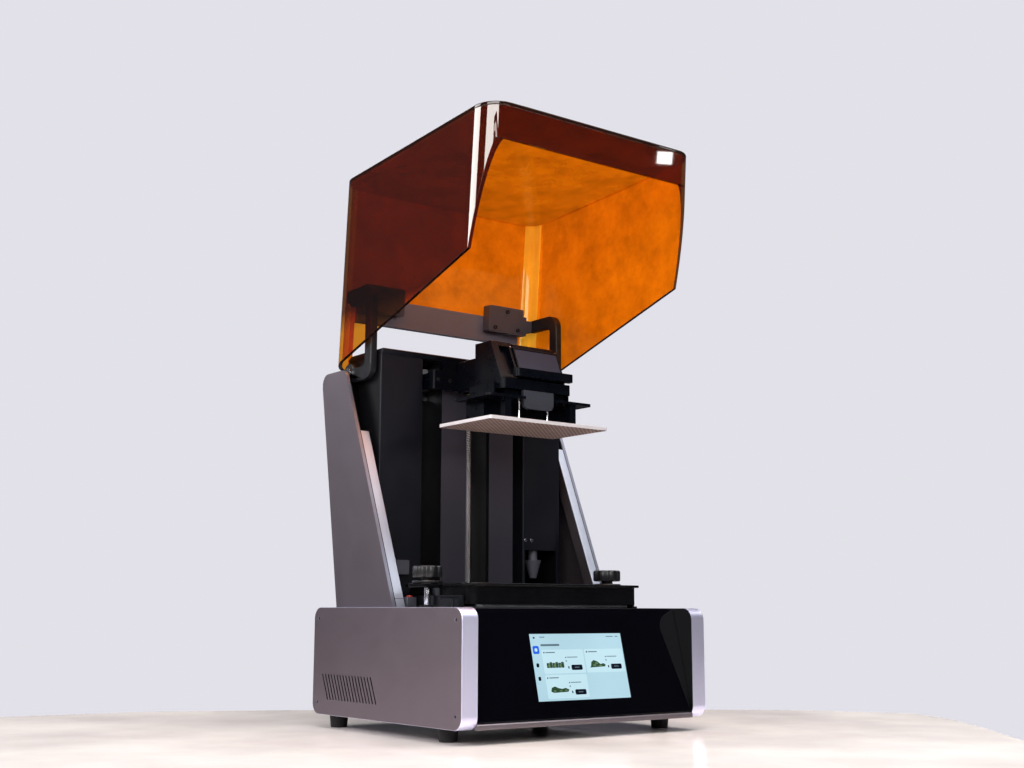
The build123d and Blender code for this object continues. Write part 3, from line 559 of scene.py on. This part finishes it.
# ---------------------------------------------------------------- hood
HINGE = Vector(JOINTS["hood_hinge"]["pos_m"])
HOOD_OPENING = -JOINTS["hood_hinge"]["range_deg"][0]
HOOD_TURN = Matrix.Rotation(math.radians(HOOD_OPENING), 3, "X")    # from open to closed
HOOD_MIDDLE_Z = 338 * MM              # closed hood: height of its middle
HOOD_BENDS_Z = 487 * MM               # closed hood: its bent top corners are above this
OUTSIDE, INSIDE, CUT, BEND = range(4)


def closed_normal_and_place(face):
    """A face's direction and middle when the hood is closed."""
    place = HOOD_TURN @ (face.calc_center_median() - HINGE) + HINGE
    return HOOD_TURN @ face.normal, place


def plate_side(normal):
    """Which side of the hood's front plate a face is on."""
    if abs(normal.y) <= 0.8:
        return CUT
    return OUTSIDE if normal.y < 0 else INSIDE


def wall_side(normal, place):
    """Which side of the hood's bent wall a face is on."""
    if abs(normal.y) > 0.35:
        return CUT
    outward = Vector((place.x, 0, place.z - HOOD_MIDDLE_Z))
    if normal.dot(outward) > 0:
        return OUTSIDE
    # The inside faces of the rounded top bends take the painted highlight.
    rounded = place.z > HOOD_BENDS_Z and min(abs(normal.x), abs(normal.z)) > 0.3
    return BEND if rounded else INSIDE


def hood_part(node, name):
    """Polished acrylic sheet: rounded cut edges; a finish inside, painted shade outside, a painted highlight on
    the inner rounded bends, and its own finish on the cuts.
    """
    bm = cad_copy(node)
    bevel_sharp(bm, 1.2 * MM, 3, 40)
    bm.normal_update()
    for face in bm.faces:
        normal, place = closed_normal_and_place(face)
        plate = node == "hood_front_plate"
        face.material_index = plate_side(normal) if plate else wall_side(normal, place)
    mesh = mesh_from(bm, name)
    # Finishes by side: the outside with painted shade, the inside, the cuts, and the inner bends with a painted
    # highlight.
    finish = [M["amber_out_painted_shade"], M["amber_in"], M["amber_edge"], M["amber_corner_painted_highlight"]]
    return finish_piece(name, mesh, finish, "hood", [node], smooth_angle=40, flat=True)


hood_part("hood_wall", "hood_wall_sheet")
hood_part("hood_front_plate", "hood_front_sheet")


# ---------------------------------------------------------------- screws
def screws(name, spots, direction, radius, depth, material, body, replaces=(), socket=0.5):
    """One piece of like screws, whose direction is fixed or depends on the spot."""
    bm = bmesh.new()
    for spot in spots:
        towards = direction(spot) if callable(direction) else direction
        screw_in(bm, spot, towards, radius, depth, socket)
    return finish_piece(name, mesh_from(bm, name), [M[material]], body, replaces, smooth_angle=30)


def side_screw_spots():
    low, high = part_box("side_panels")
    inset = 12.5 * MM
    spots = []
    for x in (low.x + 0.4 * MM, high.x - 0.4 * MM):
        for y in (low.y + inset, high.y - inset):
            for z in (low.z + 15.5 * MM, high.z - 14.5 * MM):
                spots.append((x, y, z))
    return spots


def away_from_middle(spot):
    return (math.copysign(1, spot[0]), 0, 0)


def bottom_screw_spots():
    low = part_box("base_tray")[0]
    return [(x * MM, y * MM, low.z - 3.5 * MM) for x in (-110, -40, 40, 110) for y in (-80, 110)]


screws("side_screws", side_screw_spots(), away_from_middle, 2.15 * MM, 13 * MM, "screw_black", "frame",
       ["casing_screws"])
screws("bottom_screws", bottom_screw_spots(), (0, 0, -1), 3 * MM, 5.3 * MM, "screw_black", "frame")


def block_screw_spots():
    """Middles of the corner blocks' screws, one for each loose part of the CAD node that they stand for."""
    bm = bmesh.new()
    bm.from_mesh(NODES["hood_block_screws"].data)
    bmesh.ops.remove_doubles(bm, verts=bm.verts[:], dist=1e-6)
    middles, seen = [], set()
    for start in bm.verts:
        if start.index in seen:
            continue
        stack, members = [start], []
        while stack:
            vert = stack.pop()
            if vert.index in seen:
                continue
            seen.add(vert.index)
            members.append(vert.co.copy())
            stack.extend(edge.other_vert(vert) for edge in vert.link_edges)
        middles.append(sum(members, Vector()) / len(members))
    bm.free()
    return middles


BLOCK_NORMAL = HOOD_TURN.transposed() @ Vector((0, 0, -1))
block_spots = [spot + BLOCK_NORMAL * 0.9 * MM for spot in block_screw_spots()]
screws("hood_block_screw_heads", block_spots, tuple(BLOCK_NORMAL), 3.2 * MM, 1.8 * MM, "screw_black", "hood",
       ["hood_block_screws"], 0.55)


# ---------------------------------------------------------------- leadscrew with its thread
def leadscrew():
    """Leadscrew with a thread of four starts, and plain ends."""
    low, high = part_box("leadscrew")
    centre = Vector(((low.x + high.x) / 2, (low.y + high.y) / 2, 0))
    radius = (high.x - low.x) / 2
    starts, lead, depth, plain_end = 4, 10 * MM, 0.9 * MM, 2 * MM
    around, rows = 28, int((high.z - low.z) / (lead / starts / 8))
    bm = bmesh.new()
    rings = []
    for row in range(rows + 1):
        z = low.z + (high.z - low.z) * row / rows
        plain = min(z - low.z, high.z - z) < plain_end
        ring = []
        for i in range(around):
            angle = 2 * math.pi * i / around
            phase = ((z / lead - angle / (2 * math.pi)) * starts) % 1.0
            cut = 1.0 if plain else min(1.0, max(0.0, 1.6 - 3.2 * abs(phase - 0.5)))
            reach = radius - depth * cut
            x, y = centre.x + reach * math.cos(angle), centre.y + reach * math.sin(angle)
            ring.append(bm.verts.new((x, y, z)))
        rings.append(ring)
    skin_rings(bm, rings)
    return finish_piece("leadscrew_thread", mesh_from(bm, "leadscrew_thread"), [M["thread"]], "leadscrew",
                        ["leadscrew"], smooth_angle=50)


leadscrew()


# ---------------------------------------------------------------- vat, its knobs and its film screws
def vat():
    """Vat with rounded rims and corners."""
    bm = cad_copy("vat_body")
    bevel_sharp(bm, 1.1 * MM, 3, 35)
    return finish_piece("vat_casting", mesh_from(bm, "vat_casting"), [M["vat_black"]], "vat",
                        ["vat_body"], smooth_angle=35, flat=True)


def lobes(angle):
    """Seven-lobed outline of a thumb knob, just under 1 at the tips."""
    return 0.93 + 0.07 * math.cos(7 * angle) - 0.012 * math.cos(14 * angle)


def knob(side, body):
    """Thumb knob: a round flange, a neck, and a lobed grip with a dished top."""
    low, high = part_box("vat_knob_" + side)
    foot = Vector(((low.x + high.x) / 2, (low.y + high.y) / 2, low.z))
    flange, neck, grip, dish = (high.x - low.x) / 2, 8 * MM, 19.2 * MM, 11.5 * MM
    top = high.z - low.z
    lower = [(flange - 1 * MM, 0), (flange, 0.5 * MM), (flange, 2.2 * MM), (flange - 0.8 * MM, 3 * MM),
             (neck + 1.2 * MM, 3.2 * MM), (neck, 4.2 * MM), (neck, 7 * MM)]
    upper = [(grip - 2.2 * MM, 6.7 * MM), (grip - 0.7 * MM, 7.1 * MM), (grip, 8.6 * MM), (grip, top - 2.2 * MM),
             (grip - 0.6 * MM, top - 0.8 * MM), (grip - 2 * MM, top), (dish, top),
             (dish - 0.6 * MM, top - 0.9 * MM), (4 * MM, top - 1.3 * MM)]
    bm = bmesh.new()
    lathe_in(bm, lower, foot, segments=48)
    lathe_in(bm, upper, foot, segments=112, lobes=lobes)
    finish_piece("thumb_knob_" + side, mesh_from(bm, "thumb_knob_" + side), [M["plastic_black"]], body,
                 ["vat_knob_" + side], smooth_angle=38)


vat()
knob("left", "knob_left")
knob("right", "knob_right")


def film_screw_spots():
    low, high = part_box("vat_film_screws")
    middle = (low.y + high.y) / 2
    across, along = (high.x - low.x) / 2 - 2.2 * MM, (high.y - low.y) / 2 - 2.2 * MM
    spots = []
    for side in (-1, 1):
        spots += [(side * across, middle + y * MM, high.z) for y in range(-50, 51, 25)]
        spots += [(x * MM, middle + side * along, high.z) for x in range(-90, 91, 30)]
    return spots


screws("film_screw_heads", film_screw_spots(), (0, 0, 1), 2.2 * MM, 1.6 * MM, "steel", "vat",
       ["vat_film_screws"])


# ---------------------------------------------------------------- build platform
def build_plate():
    """Plate with bright milled edges and a hatched underside."""
    bm = cad_copy("build_plate")
    bevel_sharp(bm, 0.5 * MM, 2, 40)
    bm.normal_update()
    edges, underside = 0, 1
    for face in bm.faces:
        face.material_index = underside if face.normal.z < -0.9 else edges
    mesh = mesh_from(bm, "platform_plate")
    return finish_piece("platform_plate", mesh, [M["plate_edge"], M["plate_under"]], "platform",
                        ["build_plate"], smooth_angle=35, flat=True)


def levelling_screws():
    """Pair of levelling screws: a tapered foot under a ribbed shank."""
    low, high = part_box("levelling_screws")
    shank, root = 1.6 * MM, 1.25 * MM
    bm = bmesh.new()
    middle = (low.y + high.y) / 2
    for x in (low.x + 3.6 * MM, high.x - 3.6 * MM):
        z = low.z
        profile = [(3.2 * MM, z), (3.6 * MM, z + 0.5 * MM), (3.6 * MM, z + 2 * MM), (2.2 * MM, z + 9 * MM),
                   (1.7 * MM, z + 15 * MM), (shank, z + 16 * MM)]
        for turn in range(11):
            height = z + (17 + turn) * MM
            profile += [(shank, height), (root, height + 0.5 * MM)]
        profile += [(shank, high.z - 1.2 * MM), (shank, high.z)]
        lathe_in(bm, profile, (x, middle, 0), segments=24)
    return finish_piece("levelling_screw_pair", mesh_from(bm, "levelling_screw_pair"), [M["steel"]], "platform",
                        ["levelling_screws"], smooth_angle=40)


build_plate()
levelling_screws()


# ---------------------------------------------------------------- head and lock lever
def sunken(bm, normal, inset, depth, material_index):
    """Sinks a panel into the largest flat face that looks along normal."""
    bm.normal_update()
    facing = [face for face in bm.faces if face.normal.dot(Vector(normal).normalized()) > 0.97]
    face = max(facing, key=lambda candidate: candidate.calc_area())
    bmesh.ops.inset_region(bm, faces=[face], thickness=inset, depth=0)
    bmesh.ops.inset_region(bm, faces=[face], thickness=depth * 0.6, depth=-depth)
    face.material_index = material_index


def round_upright(bm, corner, reach, radius):
    """Rounds the upright edges that stand within reach of a corner given in plan."""
    close = [edge for edge in bm.edges if edge.is_manifold
             and all((vert.co.xy - Vector(corner)).length < reach for vert in edge.verts)
             and abs(edge.verts[0].co.z - edge.verts[1].co.z) > 4 * MM]
    bmesh.ops.bevel(bm, geom=close, offset=radius, segments=6, profile=0.5, affect="EDGES", clamp_overlap=True)


def head():
    """Head block with rounded front corners."""
    shelf_side, shelf_front = 57.5 * MM, -67 * MM
    bm = cad_copy("head_block")
    for side in (-1, 1):
        round_upright(bm, (side * shelf_side, shelf_front), 0.5 * MM, 4 * MM)
    bevel_sharp(bm, 1.3 * MM, 3, 35)
    return finish_piece("platform_head", mesh_from(bm, "platform_head"), [M["head_black"]], "carriage",
                        ["head_block"], smooth_angle=35, flat=True)


def lever():
    """Lock lever: a sunken panel with a raised border, above the shelf that a hand pulls."""
    shelf_sides, shelf_front = (-39 * MM, 57 * MM), -74 * MM
    slope = (0, -0.9, 0.44)
    bm = cad_copy("lock_lever")
    for x in shelf_sides:
        round_upright(bm, (x, shelf_front), 0.5 * MM, 4 * MM)
    sunken(bm, slope, 2.6 * MM, 0.9 * MM, 1)
    bevel_sharp(bm, 0.7 * MM, 3, 38)
    return finish_piece("head_lever", mesh_from(bm, "head_lever"), [M["head_black"], M["head_pocket"]],
                        "lock_lever", ["lock_lever"], smooth_angle=35, flat=True)


head()
lever()


# ---------------------------------------------------------------- touchscreen and its picture
PANEL_FOOT = Vector((0, -172 * MM, 25 * MM))          # lower and upper edge of the sloping panel
PANEL_HEAD = Vector((0, -139.5 * MM, 156 * MM))
UP = (PANEL_HEAD - PANEL_FOOT).normalized()
OUT = Vector((1, 0, 0)).cross(UP).normalized()
SCREEN_LOW, SCREEN_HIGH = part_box("touchscreen")
SCREEN_WIDTH = SCREEN_HIGH.x - SCREEN_LOW.x
SCREEN_TALL = 81.6 * MM
SCREEN_MIDDLE_Z = 85.5 * MM
SCREEN_START = (SCREEN_MIDDLE_Z - PANEL_FOOT.z) / UP.z - SCREEN_TALL / 2
PATCH_DEPTH = 0.03 * MM
LIFT = 0.06 * MM                                      # each layer of the picture stands this much over the last


def on_screen(across, up, lift):
    """Point on the display: across and up from 0 to 1, and lift above the glass."""
    base = PANEL_FOOT + UP * (SCREEN_START + up * SCREEN_TALL)
    return Vector((SCREEN_LOW.x + across * SCREEN_WIDTH, base.y, base.z)) + OUT * lift


def outline_patch(bm, points, lift):
    """Thin raised patch with the outline given in display coordinates."""
    skin_rings(bm, [[bm.verts.new(on_screen(x, y, height)) for x, y in points]
                    for height in (lift, lift - PATCH_DEPTH)])


def rounded_patch(bm, x0, y0, x1, y1, radius, lift):
    """Rounded rectangle; radius is a share of the display's width."""
    tall = SCREEN_WIDTH / SCREEN_TALL
    points = []
    for cx, cy, start in ((x1 - radius, y1 - radius * tall, 0), (x0 + radius, y1 - radius * tall, 90),
                          (x0 + radius, y0 + radius * tall, 180), (x1 - radius, y0 + radius * tall, 270)):
        for k in range(5):
            angle = math.radians(start + 22.5 * k)
            points.append((cx + radius * math.cos(angle), cy + radius * tall * math.sin(angle)))
    outline_patch(bm, points, lift)


def screen_piece(name, build, material):
    bm = bmesh.new()
    build(bm)
    return finish_piece(name, mesh_from(bm, name), [M[material]], "frame")


# Everything in the picture is placed in shares of the display's width and height. A card is x0, y0, x1, y1.
CARDS = ((0.10, 0.40, 0.545, 0.76), (0.56, 0.40, 0.985, 0.76), (0.10, 0.03, 0.545, 0.38))


def ui_cards(bm):
    for x0, y0, x1, y1 in CARDS:
        rounded_patch(bm, x0, y0, x1, y1, 0.012, LIFT)


def ui_buttons(bm):
    for _, y0, x1, _ in CARDS:
        rounded_patch(bm, x1 - 0.15, y0 + 0.045, x1 - 0.03, y0 + 0.125, 0.012, 2 * LIFT)


def ui_icons(bm):
    for up in (0.53, 0.33):
        rounded_patch(bm, 0.027, up - 0.03, 0.055, up + 0.03, 0.009, LIFT)
    rounded_patch(bm, 0.03, 0.93, 0.05, 0.955, 0.006, LIFT)
    for x0, y0, x1, y1 in CARDS:
        rounded_patch(bm, x0 + 0.018, y1 - 0.055, x0 + 0.03, y1 - 0.03, 0.004, 2 * LIFT)
        rounded_patch(bm, x1 - 0.185, y0 + 0.07, x1 - 0.172, y0 + 0.105, 0.004, 2 * LIFT)
        rounded_patch(bm, x1 - 0.203, y1 - 0.13, x1 - 0.193, y1 - 0.112, 0.003, 2 * LIFT)


def ui_bars(bm):
    """Plain bars where a display would have its words."""
    rounded_patch(bm, 0.10, 0.815, 0.30, 0.845, 0.006, LIFT)
    rounded_patch(bm, 0.10, 0.945, 0.155, 0.957, 0.003, LIFT)
    rounded_patch(bm, 0.83, 0.945, 0.91, 0.957, 0.003, LIFT)
    rounded_patch(bm, 0.93, 0.945, 0.965, 0.957, 0.003, LIFT)
    for x0, y0, x1, y1 in CARDS:
        rounded_patch(bm, x0 + 0.04, y1 - 0.05, x0 + 0.14, y1 - 0.035, 0.003, 2 * LIFT)
        rounded_patch(bm, x1 - 0.185, y1 - 0.125, x1 - 0.07, y1 - 0.113, 0.003, 2 * LIFT)
        rounded_patch(bm, x1 - 0.203, y1 - 0.185, x1 - 0.19, y1 - 0.165, 0.003, 2 * LIFT)
        rounded_patch(bm, x1 - 0.115, y0 + 0.08, x1 - 0.065, y0 + 0.092, 0.002, 3 * LIFT)


def ui_models(bm):
    """Printed objects in the cards: a row of posts, a stepped block and a flat wavy block."""
    x, y, step = 0.135, 0.485, 0.031
    for i in range(6):
        left = x + step * i
        rounded_patch(bm, left, y, left + 0.029, y + 0.075 + 0.012 * (i % 2), 0.006, 2 * LIFT)
    stepped = [(0, 0), (0.17, 0.012), (0.175, 0.045), (0.15, 0.062), (0.12, 0.05), (0.09, 0.09), (0.05, 0.115),
               (0.02, 0.085), (0.012, 0.03)]
    wavy = [(0, 0.02), (0.03, 0), (0.18, 0.008), (0.195, 0.04), (0.16, 0.068), (0.12, 0.055), (0.08, 0.07),
            (0.045, 0.095), (0.01, 0.075)]
    for x, y, shape in ((0.60, 0.475, stepped), (0.14, 0.115, wavy)):
        outline_patch(bm, [(x + dx, y + dy) for dx, dy in shape], 2 * LIFT)


def ui_model_lights(bm):
    """Lit faces of those objects."""
    for x, y in ((0.15, 0.50), (0.21, 0.50), (0.27, 0.50)):
        rounded_patch(bm, x, y, x + 0.02, y + 0.04, 0.005, 3 * LIFT)
    for x, y in ((0.635, 0.50), (0.70, 0.488), (0.66, 0.53)):
        rounded_patch(bm, x, y, x + 0.035, y + 0.022, 0.008, 3 * LIFT)
    for x, y in ((0.165, 0.13), (0.23, 0.13), (0.285, 0.135)):
        rounded_patch(bm, x, y, x + 0.03, y + 0.022, 0.008, 3 * LIFT)


def ui_blue(bm):
    rounded_patch(bm, 0.012, 0.70, 0.078, 0.82, 0.014, LIFT)


def ui_blue_mark(bm):
    rounded_patch(bm, 0.031, 0.735, 0.059, 0.785, 0.009, 2 * LIFT)


dress("touchscreen", "screen_pale", 0.2 * MM, 1)
screen_piece("display_cards", ui_cards, "screen_card")
screen_piece("display_buttons", ui_buttons, "screen_dark")
screen_piece("display_icons", ui_icons, "screen_dark")
screen_piece("display_bars", ui_bars, "screen_grey")
screen_piece("display_models", ui_models, "screen_green")
screen_piece("display_model_lights", ui_model_lights, "screen_green_light")
screen_piece("display_choice", ui_blue, "screen_blue")
screen_piece("display_choice_mark", ui_blue_mark, "screen_card")


# ---------------------------------------------------------------- small parts on the frame and carriage
def switch_cap():
    """Red button on the hood switch."""
    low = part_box("sensor_housings")[0]
    centre = low + Vector((6.5 * MM, 6.5 * MM, 13 * MM))
    profile = [(4.2 * MM, 0), (4.2 * MM, 1.2 * MM), (3.6 * MM, 1.9 * MM), (2 * MM, 2.2 * MM)]
    bm = bmesh.new()
    lathe_in(bm, profile, centre, segments=28)
    return finish_piece("hood_switch_cap", mesh_from(bm, "hood_switch_cap"), [M["red"]], "frame")


def nozzle_screw_spots():
    """Two small screws in the tower's front, above the nozzle."""
    return [(x * MM, 78.7 * MM, 254 * MM) for x in (92.7, 103.8)]


def carriage_screw_spots():
    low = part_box("carriage_plate")[0]
    return [(side * x * MM, low.y - 0.6 * MM, 468 * MM) for side in (-1, 1) for x in (58, 78)]


def stud_sleeves():
    """Turned sleeves on the studs, between the guide rails and the ears of the vat."""
    profile = [(4.02 * MM, 160 * MM), (4.14 * MM, 160.4 * MM), (4.14 * MM, 181 * MM), (4.02 * MM, 181.4 * MM)]
    bm = bmesh.new()
    for side in ("left", "right"):
        stud = JOINTS["knob_" + side + "_turn"]["pos_m"]
        lathe_in(bm, profile, (stud[0], stud[1], 0), segments=32)
    return finish_piece("stud_sleeves", mesh_from(bm, "stud_sleeves"), [M["steel"]], "frame")


switch_cap()
stud_sleeves()
screws("nozzle_screws", nozzle_screw_spots(), (0, -1, 0), 2.4 * MM, 2 * MM, "steel", "frame")
screws("carriage_screws", carriage_screw_spots(), (0, -1, 0), 2.6 * MM, 2 * MM, "screw_black", "carriage")


def front_cheeks():
    """Gloss black liners on the inner sides of the side panels, in front of the sloping panel."""
    bm = bmesh.new()
    front, rear, low, high, corner = (value * MM for value in (-173.4, -134.0, 17.6, 156.4, 14.4))
    outline = [(rear, low), (rear, high)]
    for y, z, start in ((front + corner, high - corner, 90), (front + corner, low + corner, 180)):
        for k in range(9):
            angle = math.radians(start + 11.25 * k)
            outline.append((y + corner * math.cos(angle), z + corner * math.sin(angle)))
    for side in (-1, 1):
        sides = (side * 172.72 * MM, side * 172.98 * MM)
        skin_rings(bm, [[bm.verts.new((x, y, z)) for y, z in outline] for x in sides])
    return finish_piece("front_cheeks", mesh_from(bm, "front_cheeks"), [M["gloss_black"]], "frame")


def fin_front(z):
    """How far back the fins' sloping front edge is at a height."""
    return FIN_FOOT_Y + FIN_LEAN * (z - DECK_Z)


def flange_seams():
    """Dark joint near the foot of each fin flange."""
    low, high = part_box("fin_flanges")
    z = low.z + 10.7 * MM
    y = fin_front(z)
    bm = bmesh.new()
    for side in (-1, 1):
        near, far = sorted((side * (high.x - 15.7 * MM), side * (high.x - 2.1 * MM)))
        box_in(bm, (near, y - 0.08 * MM, z - 0.3 * MM), (far, y + 1 * MM, z + 0.3 * MM))
    return finish_piece("flange_seams", mesh_from(bm, "flange_seams"), [M["screw_black"]], "frame")


def fin_grooves():
    """Dark groove down the sloping edge of each fin, between its flange and its rim."""
    bm = bmesh.new()
    foot, top = DECK_Z + 0.6 * MM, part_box("fin_shells")[1].z - 24 * MM
    for side in (-1, 1):
        near, far = side * 176.2 * MM, side * 177.3 * MM
        ends = []
        for z in (foot, top):
            front, rear = fin_front(z) - 0.05 * MM, fin_front(z) + 0.4 * MM
            corners = ((near, front), (far, front), (far, rear), (near, rear))
            ends.append([bm.verts.new((x, y, z)) for x, y in corners])
        skin_rings(bm, ends)
    return finish_piece("fin_grooves", mesh_from(bm, "fin_grooves"), [M["screw_black"]], "frame")


front_cheeks()
flange_seams()
fin_grooves()


# ---------------------------------------------------------------- stage, lights and camera
def table():
    """Pale table top whose far edge runs just behind the printer."""
    edge = [(-2.9, 0.78), (-0.485, 0.573), (-0.267, 0.552), (-0.065, 0.450), (0.458, 0.099), (0.581, 0.0),
            (0.668, -0.152), (0.620, -0.249), (0.525, -0.369), (0.400, -0.506), (-0.4, -1.35), (-2.4, -3.5)]
    top, underside = -0.2 * MM, -45 * MM
    bm = bmesh.new()
    skin_rings(bm, [[bm.verts.new((x, y, z)) for x, y in edge] for z in (top, underside)])
    mesh = mesh_from(bm, "table")
    mesh.materials.append(surface("table", srgb(248, 238, 233), 0.2, 0.0, 0.015, 1.2, 60.0, 0.004, coat=0.3))
    stand = bpy.data.objects.new("table", mesh)
    bpy.context.scene.collection.objects.link(stand)


def softbox(name, place, aim, width, height, radiance):
    """Area light with a set brightness seen from the front."""
    data = bpy.data.lights.new(name, "AREA")
    data.shape = "RECTANGLE"
    data.size, data.size_y = width, height
    data.energy = radiance * math.pi * width * height
    light = bpy.data.objects.new(name, data)
    light.location = place
    light.rotation_euler = (Vector(aim) - Vector(place)).to_track_quat("-Z", "Y").to_euler()
    bpy.context.scene.collection.objects.link(light)


def world():
    """Lavender backdrop, with dimmer walls for the reflections."""
    made = bpy.data.worlds.new("studio")
    bpy.context.scene.world = made
    made.use_nodes = True
    tree = made.node_tree
    tree.nodes.clear()
    output = tree.nodes.new("ShaderNodeOutputWorld")
    seen = tree.nodes.new("ShaderNodeBackground")
    seen.inputs["Color"].default_value = srgb(226, 225, 233)
    around = tree.nodes.new("ShaderNodeBackground")
    behind = spread(tree, axes(tree, "ShaderNodeTexCoord", "Generated")["Y"], 0, 1, -0.1, 0.5)
    tint = between(tree, behind, (0.04, 0.04, 0.045, 1), (0.06, 0.06, 0.07, 1))
    tree.links.new(tint, around.inputs["Color"])
    direct = tree.nodes.new("ShaderNodeLightPath").outputs["Is Camera Ray"]
    both = mixed(tree, direct, around.outputs["Background"], seen.outputs["Background"])
    tree.links.new(both, output.inputs["Surface"])


def camera():
    """Camera low at the front left, looking a little up."""
    place, lens, sensor = (-1.0996, -1.4608, 0.1518), 47.17009, 36
    yaw, pitch, roll = 0.6484, 0.1682, 0.0028
    ahead = Vector((math.sin(yaw) * math.cos(pitch), math.cos(yaw) * math.cos(pitch), math.sin(pitch)))
    right = ahead.cross(Vector((0, 0, 1))).normalized()
    up = right.cross(ahead)
    tilted_right = right * math.cos(roll) + up * math.sin(roll)
    tilted_up = up * math.cos(roll) - right * math.sin(roll)
    data = bpy.data.cameras.new("camera")
    data.sensor_width = sensor
    data.lens = lens
    made = bpy.data.objects.new("camera", data)
    turn = Matrix((tilted_right, tilted_up, -ahead)).transposed().to_4x4()
    made.matrix_world = Matrix.Translation(place) @ turn
    bpy.context.scene.collection.objects.link(made)
    bpy.context.scene.camera = made


table()
world()
camera()
softbox("front_softbox", (0.3, -2.9, 0.92), (0, 0, 0.6), 1.4, 0.42, 5.0)
softbox("left_softbox", (-2.63, 1.35, 1.66), (-0.17, -0.1, 0.7), 1.70, 1.4, 10.0)
softbox("corner_softbox", (-2.07, -2.03, 1.35), (-0.17, -0.1, 0.7), 2.55, 0.95, 9.0)
softbox("right_card", (0.908, -1.063, 1.036), (0.126, -0.195, 0.754), 0.034, 0.027, 14.0)
softbox("top_softbox", (0.0, -0.6, 2.5), (0, -0.3, 0), 2.2, 2.2, 8.0)
softbox("high_softbox", (1.25, -1.05, 2.2), (0, 0, 0.4), 1.1, 1.1, 4.0)
softbox("back_softbox", (1.3, 2.0, 1.6), (0, 0, 0.4), 1.0, 1.0, 3.0)
bpy.context.scene.view_settings.view_transform = "Standard"

bpy.context.view_layer.update()
